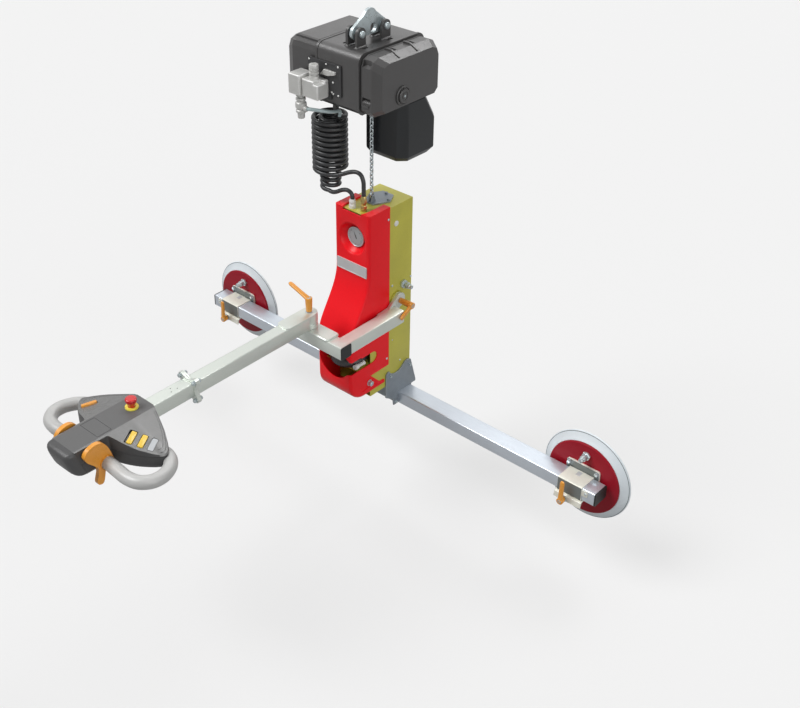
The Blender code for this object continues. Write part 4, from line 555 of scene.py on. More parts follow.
bucket = stack([(bucket_outline(*cut), level) for level, *cut in ((-0.4853, 0.016, 0.014, 0.028),
    (-0.48, 0.01, 0.012, 0.03), (-0.4633, 0, 0, 0.032), (-0.3503, 0, 0, 0.032),
    (-0.295, 0.003, 0.026, 0.03), (-0.2603, 0.004, 0.045, 0.028))], "Z")
piece("chain_bucket", bucket, container_black, "hoist", "chain_container", bevel=0.0035, segments=3)


# Chain
# A round-link lifting chain of 5 mm zinc-plated wire at 15 mm pitch runs straight from the hoist to an
# anchor on the deck, each link turned a quarter from the last.
chain_zinc = finish("chain_zinc", (0.62, 0.68, 0.7), 0.26, 0.3, 60, 900, metallic=0.85)
PITCH = 0.015


def link(centre, along_x):
    wire_radius = 0.0025
    bend = 0.0085 - wire_radius
    rise = (PITCH - 0.0002) / 2 - (bend - wire_radius)
    middle = arc((0, rise), bend, 0, 180, 9) + arc((0, -rise), bend, 180, 360, 9)
    rings = []
    for i, (u, v) in enumerate(middle):
        ahead = (Vector(middle[(i + 1) % len(middle)]) - Vector(middle[i - 1])).normalized()
        ring = []
        for k in range(9):
            across = Vector((ahead.y, -ahead.x)) * (wire_radius * cos(tau * k / 9))
            depth = wire_radius * sin(tau * k / 9)
            flat = (u + across.x, v + across.y)
            ring.append(centre + Vector((flat[0], depth, flat[1]) if along_x else (depth, flat[0], flat[1])))
        rings.append(ring)
    return loft(rings, closed=True)


first_link = -0.639 - 0.00467 + PITCH / 2
links = [link(Vector((0, 0, first_link + i * PITCH)), i % 2 == 1) for i in range(33)]
piece("lifting_chain", together(*links), chain_zinc, "lifter", "chain", smooth=60)


# Chain anchor and deck glands
# A pressed blue-grey plate, bolted to the deck at its three tips, holds the chain's last link on a pin.
# Beside it the hose enters through a brass gland and the cable through a white one.
DECK = -0.665
bracket_blue = finish("bracket_blue", (0.27, 0.305, 0.34), 0.38, 0.2, 30, 1000, "bracket_blue_grey",
    metallic=0.3, edge_wear_and_highlight=0.7, bare=(0.55, 0.6, 0.63))
brass = finish("brass", (0.52, 0.4, 0.16), 0.3, 0.2, 60, 900, metallic=0.9)


def softened(name, node, material, body, width, cuts=()):
    """A solid of the frame again, in one clean mesh, with its edges broken."""
    bm = bmesh.new()
    bm.from_mesh(frame["nodes"][node].data)
    bmesh.ops.remove_doubles(bm, verts=bm.verts, dist=0.00002)
    bmesh.ops.dissolve_limit(bm, angle_limit=radians(1), verts=bm.verts, edges=bm.edges)
    piece(name, shaped(bm, cuts) if cuts else bm, material, body, node, bevel=width)


def bolt_head(name, along, centre, face, out, width, material=plated, body="lifter"):
    """A hexagon head on its washer, standing out of a face along + or - an axis."""
    seat = face + out * width * 0.14
    washer = turned([(width * 0.62, face), (width * 0.62, face + out * width * 0.12), (width * 0.58, seat)],
        along, centre, 28)
    head = across_flats(width, along, centre, seat, seat + out * width * 0.55, 12)
    piece(name, together(washer, head), material, body)


softened("chain_foot", "chain_anchor", bracket_blue, "lifter", 0.0008)
for i, (x, y) in enumerate(((-0.04, 0.048), (0.04, 0.048), (0.0, 0.082))):
    bolt_head("foot_bolt_%d" % i, "Z", (x, y), DECK + 0.0053, 1, 0.01, bracket_blue)
for name, at, size, top, material in (("hose_gland", (0.025, -0.07), 0.011, -0.6047, brass),
        ("cable_gland", (-0.024, -0.078), 0.012, -0.6297, white_cap)):
    base = DECK + 0.0003
    rise = top - base
    sleeve = turned([(size * width, base + rise * share) for width, share in ((1.1, 0), (1.1, 0.1),
        (0.8, 0.12), (0.8, 0.46), (0.92, 0.52), (0.98, 0.6), (0.98, 0.82), (0.9, 0.93), (0.78, 1))], "Z",
        at, 40)
    nuts = (across_flats(size * 2.06, "Z", at, base + rise * 0.14, base + rise * 0.4, 10),
        across_flats(size * 1.96, "Z", at, base + rise * 0.56, base + rise * 0.8, 25))
    piece(name, together(*nuts, sleeve), material, "lifter", "brass_gland"
        if material is brass else "white_gland")


# Body housing
# Folded sheet, zinc plated and yellow passivated, open to the front. Dome-headed screws, a cap and a hose
# coupling stand on its right side, and a welded boss carries the handle's tilt pivot.
zinc_yellow = finish("zinc_yellow", (0.56, 0.52, 0.075), 0.4, 0.2, 9, 800, "housing_yellow_zinc",
    metallic=0.15, bump=0.12, edge_wear_and_highlight=0.6, bare=(0.7, 0.67, 0.22))
softened("housing", "body_housing", zinc_yellow, "lifter", 0.0007)


def dome(name, along, centre, face, out, radius, height, material=plated, body="lifter"):
    """A low round head on a face."""
    profile = [(radius, face), (radius, face + out * height * 0.25)]
    profile += [(radius * cos(radians(a)), face + out * height * (0.25 + 0.75 * sin(radians(a))))
        for a in (25, 50, 72)]
    profile.append((radius * 0.05, face + out * height))
    piece(name, turned(profile, along, centre, 28), material, body, smooth=50)


SIDE_FACE = 0.083
for i, (y, z, radius) in enumerate(((0.134, -1.007, 0.0048), (0.026, -1.004, 0.0052), (0.03, -1.254, 0.003),
        (0.078, -1.373, 0.0045))):
    dome("side_screw_%d" % i, "X", (y, z), SIDE_FACE, 1, radius, 0.003)
dome("side_cap", "X", (0.045, -0.741), SIDE_FACE, 1, 0.0115, 0.005, white_cap)
at = (0.088, -1.019)
stub = turned([(0.0105, 0.09), (0.0105, 0.1), (0.009, 0.1005), (0.009, 0.112), (0.01, 0.1125),
    (0.01, 0.121), (0.008, 0.1225), (0.0074, 0.13), (0.0045, 0.13)], "X", at, 32)
piece("side_coupling", together(across_flats(0.032, "X", at, SIDE_FACE, SIDE_FACE + 0.011, 15),
    across_flats(0.024, "X", at, 0.103, 0.112, 40), stub), plated)


# Front cover
# Glossy red vacuum-formed plastic: it sweeps out to a round nose round the spare hose, with a crater for
# the gauge, a cut-out over the deck's glands, a slot that opens the nose and a notch over the saddle.
COVER_TOP = -0.657
COVER_END = -1.437
cover_red = finish("cover_red", (0.92, 0.008, 0.016), 0.34, 0.05, 6, 120, shine=0.25, bump=0.04, spread=0.05)


def cover_outline(inset, back):
    """Side view of the cover, Y and Z: straight top, concave sweep, round nose."""
    outline = [(back, COVER_TOP), (-0.108 + inset, COVER_TOP)]
    for i in range(25):
        t = i / 24
        ease = t * t * (3 - 2 * t) * (0.55 + 0.45 * t)
        outline.append((-0.108 - 0.106 * ease + inset, COVER_TOP - 0.245 - 0.255 * t))
    nose = 0.08 - inset
    outline += arc((-0.214 + inset + nose, COVER_END + inset + nose), nose, 180, 270, 16)
    return outline + [(back, COVER_END + inset)]


def cover_solid(half, inset, corner, back, ceiling, steps):
    """The cover's full body with rounded side edges, cut level at the ceiling."""
    levels = [(-half + corner * (1 - cos(radians(90 * i / steps))), 90 * i / steps) for i in range(steps + 1)]
    levels += [(-x, turn) for x, turn in reversed(levels)]
    return stack([([(y, min(z, ceiling)) for y, z in cover_outline(inset + corner
        * (1 - sin(radians(turn))), back)], x) for x, turn in levels], "X")


HALF = 0.0868
WALL = 0.0035
INNER = HALF - WALL
GAUGE = (0, -0.775)
NOSE_BOLT = (-0.106, -1.387)
crater = [(0.0675, -0.114), (0.0675, -0.1081), (0.065, -0.1072), (0.0632, -0.1055)]
crater += [(0.0632 - 0.022 * (t / 8) ** 1.4, -0.1055 + 0.0255 * (t / 8)) for t in range(1, 9)]
throat = [(-0.0548, 0.03), (-0.0548, -0.078), (-0.05, -0.1), (-0.0368, -0.128)]
throat += [(-x, y) for x, y in reversed(throat)]
slot_side = [(-0.25, -1.25), *arc((-0.088, -1.275), 0.025, 90, -90, 14), (-0.25, -1.3)]
slot_front = [(0.12, -1.248), (0.086, -1.244), (0.058, -1.228), (-0.07, -1.228), (-0.078, -1.24)]
slot_front += [(0.081 * cos(radians(a)), -1.2525 + 0.088 * sin(radians(a))) for a in range(188, 322, 7)]
slot_front += [(0.078, -1.3), (0.12, -1.3)]
bolt_seat = arc((-0.103, -1.3865), 0.0165, -70, 110, 10) + arc((-0.142, -1.3945), 0.0165, 110, 290, 10)
notch = [(0.02, -1.357), (-0.1, -1.357), (-0.047, -1.411), (-0.018, -1.415), (-0.018, -1.46), (0.02, -1.46)]
shell = shaped(cover_solid(HALF, 0, 0.012, 0.006, COVER_TOP, 6),
    [cover_solid(INNER, WALL, 0.006, 0.056, DECK + 0.0003, 3),
    box((-INNER, -0.0986, -1.48), (INNER, 0.056, -0.965))])
openings = [turned(crater, "Y", GAUGE, 72), prism(throat, "Z", DECK - 0.0015, -0.6),
    prism(slot_side, "X", HALF - 0.03, HALF + 0.02), prism(slot_front, "Y", -0.25, -0.15),
    prism(bolt_seat, "X", HALF - 0.0022, HALF + 0.02), prism(notch, "X", -HALF - 0.02, HALF + 0.02)]
cover = shaped(shell, openings, [turned([(0.069, -0.1065), (0.053, -0.0765)], "Y", GAUGE, 72)])
piece("cover", cover, cover_red, "lifter", "front_cover", bevel=0.0011)
strip_steel = finish("strip_steel", (0.6, 0.61, 0.62), 0.42, 0.12, 20, 1200, "plated_steel", metallic=0.35,
    stretch=(0.05, 1, 1), bump=0.1, edge_wear_and_highlight=0.9, bare=(0.8, 0.81, 0.82))
strip = shaped(prism(rounded((-0.0745, -0.9175), (0.0745, -0.872), 0.001), "Y", -0.112, -0.1078),
    [prism(rounded((-0.0715, -0.9145), (0.0715, -0.875), 0.001), "Y", -0.113, -0.1114)])
piece("name_strip", strip, strip_steel, bevel=0.0004)
for i, (y, z) in enumerate(((-0.003, -0.706), (-0.006, -1.322))):
    dome("cover_screw_%d" % i, "X", (y, z), HALF, 1, 0.005, 0.0032)
bolt_head("nose_bolt", "X", NOSE_BOLT, HALF - 0.0021, 1, 0.021)
piece("nose_bolt_end", turned([(0.006, HALF + 0.008), (0.006, HALF + 0.0135), (0.0048, HALF + 0.0145)], "X",
    NOSE_BOLT, 24), plated)


# Vacuum gauge
# A steel-rimmed dial sits on the crater's floor with its pointer on an axle. The dial has plain graduation
# lines only.
dial_grey = finish("dial_grey", (0.4, 0.44, 0.45), 0.35, 0.05, 30, 900, "white_plastic")
ink = finish("ink", (0.02, 0.02, 0.02), 0.5, 0.1, 30, 900, "plug_black")
rim = [(0.0398, -0.0803), (0.04, -0.087), (0.0392, -0.0882), (0.0376, -0.0883), (0.0366, -0.0874),
    (0.0366, -0.0866)]
piece("gauge_rim", turned(rim, "Y", GAUGE, 72), plated, "lifter", "gauge_case", smooth=50)
piece("gauge_dial", turned([(0.0364, -0.086), (0.0364, -0.087), (0.036, -0.0871)], "Y", GAUGE, 72), dial_grey)
marks = []
for i in range(21):
    turn = radians(45 - 270 * i / 20)
    along = Vector((cos(turn), 0, sin(turn)))
    across = Vector((-sin(turn), 0, cos(turn)))
    start, wide = (0.0255, 0.0008) if i % 5 == 0 else (0.0285, 0.0004)
    corners = [along * reach + across * aside for reach, aside in ((start, wide), (0.0325, wide),
        (0.0325, -wide), (start, -wide))]
    marks.append(loft([[Vector((0, y, GAUGE[1])) + corner for corner in corners] for y in (-0.0872, -0.087)]))
piece("gauge_marks", together(*marks), ink)
softened("pointer", "gauge_pointer", ink, "needle", 0.0002)


# Inside the housing
# The vacuum pump, its reservoir and the valve manifold are screwed to the housing's back. The spare suction
# hose lies rolled on the shelf behind the nose's slot.
for name, node, material in (("pump", "vacuum_pump", plated), ("reservoir", "vacuum_reservoir", hoist_grey),
        ("manifold", "valve_manifold", plated)):
    softened(name, node, material, "lifter", 0.0015)
ROLL = 0.05
ROLL_HOSE = 0.0225
centre = Vector((0, -0.132, -1.3032 + ROLL_HOSE))
rings = []
for i in range(160):
    ribbed = ROLL_HOSE - 0.0012 * (0.5 + 0.5 * cos(tau * i / 4))
    out = Vector((cos(tau * i / 160), sin(tau * i / 160), 0))
    rings.append([centre + out * (ROLL + ribbed * cos(tau * k / 20))
        + Vector((0, 0, ribbed * sin(tau * k / 20))) for k in range(20)])
piece("hose_roll", loft(rings, closed=True), hose_black, "lifter", "suction_hose_roll", smooth=60)
piece("hose_end", turned([(0.0105, -0.176), (0.0105, -0.16), (0.008, -0.158), (0.008, -0.132),
    (0.0095, -0.13), (0.0095, -0.124)], "Y", (0.0725, -1.2865), 28), white_cap, smooth=35)


# Saddle and pad beam
# An inverted channel with two shaped side plates, bolted to the housing, straddles the beam. The beam is a
# zinc-plated rectangular tube, and black plastic plugs close its ends.
beam_steel = finish("beam_steel", (0.62, 0.67, 0.73), 0.34, 0.12, 5, 700, "beam_grey", metallic=0.65,
    stretch=(0.03, 1, 1), bump=0.15)
plug_black = finish("plug_black", (0.011, 0.013, 0.013), 0.4, 0.2, 30, 900, bump=0.25)
SADDLE_FACE = 0.0893
BEAM = ((0.064, -1.576), (0.14, -1.521))
softened("saddle", "beam_saddle", bracket_blue, "lifter", 0.0009)
for i, at in enumerate(((0.013, -1.418), (0.133, -1.42))):
    for side, hand in SIDES:
        bolt_head("saddle_bolt_%d_%s" % (i, hand), "X", at, side * SADDLE_FACE, side, 0.011)
bolt_head("saddle_clamp_bolt", "X", (0.05, -1.562), SADDLE_FACE, 1, 0.01)
beam_outline = rounded(*BEAM, 0.005, 5)
piece("beam", prism(beam_outline, "X", -1.035, 1.035), beam_steel, "lifter", "pad_beam", smooth=50)
for side, hand in SIDES:
    piece("end_plug_" + hand, prism(beam_outline, "X", *sorted((side * 1.0353, side * 1.0413))), plug_black,
        "lifter", "beam_plug_" + hand, bevel=0.0012)


# Suction pads
# Each pad is a dark red lacquered disc with a pale rubber lip. Its welded holder slides on the beam, with a
# jaw below, and a nut and nipple take the vacuum hose.
pad_red = finish("pad_red", (0.33, 0.008, 0.02), 0.42, 0.12, 7, 700, shine=0.2)
pad_rubber = finish("pad_rubber", (0.76, 0.82, 0.86), 0.4, 0.08, 10, 900, "pad_pale_rubber", bump=0.2)
carrier_steel = finish("carrier_steel", (0.8, 0.8, 0.71), 0.38, 0.1, 12, 900, "beam_grey", metallic=0.1,
    bump=0.12, edge_wear_and_highlight=0.9, bare=(0.9, 0.89, 0.85))
# A darker copy of the holder's steel, used as painted shade on the plate's front faces.
plate_painted_shade = finish("plate_painted_shade", (0.19, 0.21, 0.205), 0.42, 0.2, 20, 900, "beam_grey", metallic=0.3)
pad_line = finish("pad_line", (0.12, 0.15, 0.16), 0.5, 0.1, 10, 900, "pad_pale_rubber")
PAD_X = 0.93
PAD_Z = -1.553
PAD_BACK = 0.1522
LIP_FRONT = 0.1605


def repaint(made, material, chosen):
    """Another finish for the faces that a test picks."""
    made.data.materials.append(material)
    for face in made.data.polygons:
        if chosen(face):
            face.material_index = len(made.data.materials) - 1


def turned_ring(profile, along, centre, sides=128):
    """Revolve a closed (radius, level) outline that doesn't reach the axis."""
    return loft([[place(around(centre, radius, tau * i / sides), along, level) for radius, level in profile]
        for i in range(sides)], closed=True)


for side, hand in SIDES:
    body = "pad_" + hand
    x = side * PAD_X
    disc = turned([(0.148, PAD_BACK), (0.1515, PAD_BACK + 0.0006), (0.153, PAD_BACK + 0.0022),
        (0.153, PAD_BACK + 0.008)], "Y", (x, PAD_Z), 128)
    piece("suction_disc_" + hand, disc, pad_red, body, "pad_disc_" + hand, smooth=50)
    lip = turned_ring([(radius, LIP_FRONT + behind) for radius, behind in ((0.133, 0), (0.1535, 0),
        (0.1545, -0.0012), (0.156, -0.0006), (0.16, 0.003), (0.17, 0.0092), (0.179, 0.0142),
        (0.185, 0.0172), (0.1876, 0.019), (0.188, 0.0215), (0.1876, 0.0235), (0.18, 0.0235),
        (0.149, 0.0106), (0.133, 0.0094))], "Y", (x, PAD_Z))
    piece("suction_lip_" + hand, lip, pad_rubber, body, "pad_seal_" + hand, smooth=45)
    line = turned_ring([(0.1832, LIP_FRONT + 0.016), (0.1834, LIP_FRONT + 0.0162),
        (0.185, LIP_FRONT + 0.017), (0.185, LIP_FRONT + 0.0174)], "Y", (x, PAD_Z))
    piece("lip_line_" + hand, line, pad_line, body)
    ends = (x - 0.0525, x + 0.0525)
    outer = rounded((0.0602, -1.5798), (0.1438, -1.5172), 0.005, 5)
    inner = rounded((0.0637, -1.5763), (0.1403, -1.5207), 0.005, 5)
    sleeve = stack(((outer, ends[0]), (outer, ends[1]), (inner, ends[1]), (inner, ends[0])), "X", closed=True)
    backing = prism(rounded((x - 0.0715, -1.606), (x + 0.0715, -1.488), 0.01), "Y", 0.1438, PAD_BACK)
    jaw = prism([(0.144, -1.58), (0.064, -1.58), (0.0542, -1.585), (0.0502, -1.6068), (0.0552, -1.6068),
        (0.0602, -1.5878), (0.068, -1.5838), (0.144, -1.5838)], "X", x - 0.0585, x + 0.0585)
    carrier = piece("pad_carrier_" + hand, together(sleeve, backing, jaw), carrier_steel, body,
        "pad_holder_" + hand, bevel=0.0009)
    # The holder plate's front faces, turned away from the light, get the darker copy as painted shade.
    repaint(carrier, plate_painted_shade, lambda face: face.normal.y < -0.9 and face.center.z > -1.59)
    for i, aside in enumerate((-0.06, 0.06)):
        bolt_head("carrier_bolt_%s_%d" % (hand, i), "Y", (x + aside, -1.5), 0.1436, -1, 0.013, body=body)
    left, right = sorted((x + side * 0.0524, x + side * 0.078))
    tab = prism(rounded((left, -1.55), (right, -1.524), 0.004), "Y", 0.06, 0.0636)
    piece("stop_tab_" + hand, tab, carrier_steel, body, bevel=0.0006)
    dome("tab_screw_" + hand, "Y", (x + side * 0.069, -1.536), 0.06, -1, 0.0052, 0.0035, body=body)
    mark = prism(rounded((x - 0.01, 0.11), (x + 0.008, 0.134), 0.001), "Z", -1.5178, -1.5164)
    piece("carrier_mark_" + hand, mark, strip_steel, body, bevel=0.0003)
    at = (x + 0.005, -1.445)
    nipple = turned([(radius, PAD_BACK - out) for radius, out in ((0.0105, 0.01), (0.0105, 0.018),
        (0.0125, 0.019), (0.0125, 0.028), (0.01, 0.03), (0.0088, 0.034), (0.0096, 0.036), (0.0088, 0.04),
        (0.0096, 0.042), (0.008, 0.0458), (0.0055, 0.046))], "Y", at, 32)
    nut = across_flats(0.031, "Y", at, PAD_BACK, PAD_BACK - 0.01, 10)
    piece("vacuum_nipple_" + hand, together(nut, nipple), plated, body, "pad_fitting_" + hand)


# Clamp levers
# Orange die-cast levers on steel studs clamp the tilt, the swivel and both pads: a round hub with a sunk
# steel screw in its head and a flat handle that grows out of the hub and rounds off at the tip.
lever_orange = finish("lever_orange", (0.84, 0.35, 0.04), 0.3, 0.1, 30, 700, coat=0.25)


def moved(bm, matrix):
    bmesh.ops.transform(bm, matrix=matrix, verts=bm.verts)
    return bm


def clamp_lever(name, node, body, base, axis, towards, hub, reach, rise=0.0):
    """A lever on its stud: the hub's height along the axis, the handle's reach and rise from it."""
    up = Vector(axis)
    ahead = Vector(towards)
    ahead = (ahead - up * ahead.dot(up)).normalized()
    at = Matrix((ahead, up.cross(ahead), up)).transposed().to_4x4()
    at.translation = Vector(base)
    thick = 0.013
    core = turned([(0.0095, 0.003), (0.0112, 0.0034), (0.012, hub * 0.3), (0.0132, hub - thick - 0.002),
        (0.0134, hub - 0.0025), (0.0124, hub - 0.0006), (0.0082, hub), (0.0078, hub - 0.0012)], "Z", (0, 0),
        40)
    angles = [tau * (k + 0.5) / 20 for k in range(20)]
    rings = []
    for share, width, high in ((0.0, 0.0215, 0.0126), (0.1, 0.0205, 0.0122), (0.25, 0.0188, 0.0114),
            (0.45, 0.0178, 0.0108), (0.7, 0.0176, 0.0106), (0.88, 0.0178, 0.0106), (0.95, 0.016, 0.0096),
            (0.985, 0.012, 0.0072), (1.0, 0.006, 0.004)):
        level = hub - thick / 2 - 0.0004 + rise * share
        rings.append([Vector((reach * share, copysign(width / 2 * abs(cos(a)) ** 0.6, cos(a)),
            level + copysign(high / 2 * abs(sin(a)) ** 0.6, sin(a)))) for a in angles])
    piece(name, moved(together(core, loft(rings)), at), lever_orange, body, node, smooth=50)
    screw = turned([(0.0076, hub - 0.0016), (0.0076, hub - 0.0004), (0.0066, hub), (0.004, hub),
        (0.0036, hub - 0.0018)], "Z", (0, 0), 32)
    washer = turned([(0.015, 0.0002), (0.015, 0.0012), (0.014, 0.0016)], "Z", (0, 0), 36)
    piece(name + "_screw", moved(together(screw, washer), at), plated, body)
    piece(name + "_collar", moved(rod(0.0104, 0.0014, 0.0036, "Z", (0, 0), 32), at), plug_black, body)


for side, hand in SIDES:
    clamp_lever("pad_clamp_" + hand, "pad_lever_" + hand, "pad_%s_clamp_lever" % hand,
        (side * PAD_X - 0.014, 0.0499, -1.5962), (0, -1, 0), (0.02, 0, 1), 0.028, 0.094)
TILT_PIVOT = (0.05, -1.07)
ARM_X = -0.03
clamp_lever("tilt_clamp", "tilt_lever", "tilt_clamp_lever", (0.1023, *TILT_PIVOT), (1, 0, 0),
    (0, -0.88, -0.47), 0.067, 0.072)
clamp_lever("swivel_clamp", "swivel_lever", "swivel_clamp_lever", (ARM_X, -0.311, -1.0097), (0, 0, 1),
    (-1, 0.04, 0), 0.06, 0.104, 0.028)


# Handle bracket
# Two square tubes welded at a corner, in pale grey paint. A round eye plate hangs them on the housing's
# pivot, a folded lid covers the joint and the swivel, and a black plug closes the open end.
pale_paint = finish("pale_paint", (0.69, 0.73, 0.68), 0.36, 0.08, 8, 900, "tube_pale_grey", metallic=0.5,
    bump=0.12, edge_wear_and_highlight=0.5, bare=(0.84, 0.87, 0.83))
softened("bracket", "handle_bracket", pale_paint, "bracket", 0.001)
softened("bracket_end", "bracket_plug", plug_black, "bracket", 0.001)
piece("pivot_disc", turned([(0.023, 0.1), (0.023, 0.1032), (0.0215, 0.104), (0.012, 0.104)], "X",
    TILT_PIVOT), pale_paint, "bracket")


# Arm
# Two square tubes, bolted end to end through lobed flanges. The inner one ends in the swivel's turned hub,
# under a welded top plate.
holes = [rod(0.0022, -1.02, -1.01, "Z", (ARM_X + aside, y), 16)
    for aside, y in ((-0.01, -0.962), (0.006, -0.945), (0.008, -0.972))]
softened("arm_rear", "arm_inner", pale_paint, "arm", 0.001)
softened("arm_front", "arm_outer", pale_paint, "arm", 0.001, holes)
for i, (aside, above) in enumerate(((-0.036, -0.036), (0.036, -0.036), (-0.036, 0.036), (0.036, 0.036))):
    at = (ARM_X + aside, -1.0445 + above)
    bolt_head("flange_bolt_%d" % i, "Y", at, -0.895, -1, 0.013, body="arm")
    bolt_head("flange_nut_%d" % i, "Y", at, -0.878, 1, 0.013, body="arm")


# Operator's handle
# A moulded grey housing in two half shells clips round the arm's end: flat deck, sloping side panels that
# widen into shoulders, a narrow waist and a dark nose cap. Two foam-covered tube grips loop from the waist
# back into the shoulders.
handle_grey = finish("handle_grey", (0.118, 0.118, 0.118), 0.42, 0.06, 14, 1800, shine=0.5, bump=0.35)
# A lighter copy of the handle grey for the sloping side panels, as painted light.
panel_painted_light = finish("panel_painted_light", (0.165, 0.165, 0.163), 0.28, 0.1, 9, 1800, "handle_grey", shine=1.0,
    bump=0.25)
# A darker copy of the handle grey as painted shade, for the upper shell's steep walls and the whole lower
# shell.
handle_painted_shade = finish("handle_painted_shade", (0.06, 0.06, 0.061), 0.5, 0.06, 14, 1800, "handle_grey", bump=0.35)
nose_grey = finish("nose_grey", (0.07, 0.07, 0.071), 0.42, 0.08, 14, 1400, "nose_dark_grey", bump=0.25)
key_grey = finish("key_grey", (0.5, 0.52, 0.54), 0.4, 0.06, 20, 1500, "grip_grey", bump=0.2)
grip_grey = finish("grip_grey", (0.5, 0.5, 0.49), 0.38, 0.08, 20, 1500, shine=0.8, bump=0.3)
DECK_Z = -0.998
DECK_HALF = 0.052
SLOPE = 0.2962
RIM_LOW = -1.045
PART_Z = -1.0525
UNDERSIDE = -1.104
NOSE_Y = -1.378
NOSE_LEAN = -0.33
GRIP_Z = -1.0775
TUBE_ROOM = ((-0.0578, -1.1053, -1.0723), (-0.0022, -1.05, -1.0167))
BUTTONS = (("lower", 0.109, -1.216, "lower_key", "button_lower"),
    ("raise", 0.14, -1.198, "raise_key", "button_raise"), ("release", -0.148, -1.192, "release_key",
    "button_release"))
BLANK = (0.1675, -1.18)
WAIST = ((-1.072, 0.046), (-1.0785, 0.062), (-1.09, 0.092), (-1.103, 0.124), (-1.1155, 0.153),
    (-1.135, 0.186), (-1.155, 0.212), (-1.17, 0.2225), (-1.182, 0.22), (-1.194, 0.21), (-1.205, 0.198),
    (-1.23, 0.162), (-1.248, 0.1245), (-1.2555, 0.103), (-1.2615, 0.0855), (-1.266, 0.073), (-1.27, 0.066),
    (-1.276, 0.0637))
stations = [(point.x, point.y) for point in spline([(y, half, 0) for y, half in WAIST], 3)]
stations += [(-1.32, 0.063), (NOSE_Y, 0.062)]


def handle_section(y, half, upper):
    """Cross-section of the upper or the lower shell, sloping from the deck to the rim."""
    deck = min(DECK_HALF, half - 0.006)
    rim = max(DECK_Z - (half - 0.004 - deck) * SLOPE, RIM_LOW)
    if upper:
        side = [(deck, DECK_Z), (half - 0.004, rim), (half, min(rim - 0.004, PART_Z + 0.003)),
            (half, PART_Z + 0.0005)]
    else:
        skirt = UNDERSIDE + 0.05 * (half - deck)
        side = [(half, PART_Z - 0.0005), (half, min(skirt + 0.012, PART_Z - 0.004)), (half - 0.008, skirt),
            (deck, UNDERSIDE)]
    lean = NOSE_LEAN if y == NOSE_Y else 0
    return [Vector((ARM_X + x, y + lean * (z - PART_Z), z)) for x, z in side
        + [(-x, z) for x, z in reversed(side)]]


def handle_shell(name, node, material, upper, cuts, smooth):
    sections = loft([handle_section(y, half, upper) for y, half in stations])
    return piece(name, shaped(sections, cuts), material, "arm", node, bevel=0.0009, smooth=smooth)


def on_panel(bm, x, y):
    """A shape set square on the sloping side panel, at a place on it."""
    side = 1 if x > 0 else -1
    at = Matrix.Rotation(side * radians(16.5), 4, "Y") @ Matrix.Rotation(side * radians(29), 4, "Z")
    at.translation = Vector((ARM_X + x, y, DECK_Z - (abs(x) - DECK_HALF) * SLOPE))
    return moved(bm, at)


def seam_cut(side, inward, radius):
    """A fine groove along the panel, a fixed way in from the shell's outer edge, out at its front edge."""
    path = []
    for y, half in stations:
        x = half - inward
        if x > 0.064 and y > -1.184:
            run = half - 0.004 - DECK_HALF
            rim = max(DECK_Z - run * SLOPE, RIM_LOW)
            path.append(Vector((ARM_X + side * x, y, DECK_Z + (rim - DECK_Z) * (x - DECK_HALF) / run)))
    path.append(path[-1] + Vector((0, -0.05, 0)))
    return sweep(path, radius, 8)


cuts = [box(*TUBE_ROOM)]
for name, x, y, body, node in BUTTONS:
    left_room, top_room = (0.008, 0.005) if name == "lower" else (0.0022, 0.0022)
    cuts.append(on_panel(prism(rounded((-0.009 - left_room, -0.0276), (0.0108, 0.026 + top_room), 0.0055),
        "Z", -0.0112, 0.03), x, y))
cuts.append(on_panel(prism(rounded((-0.0112, -0.0275), (0.0112, 0.0275), 0.006, 5), "Z", -0.0022, 0.01),
    *BLANK))
cuts.append(shaped(box((-0.0758, -1.2988, DECK_Z - 0.0012), (0.0158, -1.2432, DECK_Z + 0.01)),
    [box((-0.0744, -1.2974, DECK_Z - 0.01), (0.0144, -1.2446, DECK_Z + 0.02))]))
for side, hand in SIDES:
    cuts.append(seam_cut(side, 0.0125, 0.0013))
    cuts.append(seam_cut(side, 0.027, 0.0009))
deck = handle_shell("handle_top", "handle_upper_shell", handle_grey, True, cuts, 9)
# The upper shell's steep walls get the darker copy as painted shade.
repaint(deck, handle_painted_shade, lambda face: abs(face.normal.z) < 0.5)
# The sloping side panels get the lighter copy as painted light.
repaint(deck, panel_painted_light, lambda face: abs(face.normal.z) >= 0.5 and abs(face.normal.x) > 0.15)
blank_key = prism(rounded((-0.0092, -0.0255), (0.0092, 0.0255), 0.0045, 5), "Z", -0.0021, 0.0003)
piece("blank_key", on_panel(blank_key, *BLANK), key_grey, "arm", bevel=0.0006)

cuts = [box(*TUBE_ROOM)]
for side, hand in SIDES:
    loop = spline([(ARM_X + side * x, y, GRIP_Z) for x, y in ((0.0635, -1.3), (0.1, -1.3), (0.145, -1.303),
        (0.19, -1.305), (0.233, -1.294), (0.261, -1.262), (0.265, -1.222), (0.249, -1.184), (0.224, -1.16),
        (0.195, -1.149), (0.16, -1.149))], 8)
    piece("grip_tube_" + hand, sweep(loop, 0.0232, 36), grip_grey, "arm", "grip_" + hand, smooth=60)
    cuts.append(sweep(loop, 0.0236, 24))
# The lower shell takes the darker copy of the handle grey as painted shade.
handle_shell("handle_base", "handle_lower_shell", handle_painted_shade, False, cuts, 12)
rings = [[Vector((ARM_X + x, NOSE_Y - reach + NOSE_LEAN * (z - PART_Z), z))
    for x, z in rounded((-half, UNDERSIDE + drop), (half, DECK_Z - drop), 0.014, 6)]
    for reach, half, drop in ((0.0003, 0.061, 0), (0.004, 0.0614, 0.0004), (0.01, 0.0612, 0.001),
    (0.018, 0.06, 0.0025), (0.026, 0.057, 0.006), (0.032, 0.0528, 0.0105), (0.037, 0.0455, 0.0175),
    (0.04, 0.038, 0.026))]
piece("nose", loft(rings), nose_grey, "arm", "nose_cap", smooth=35)


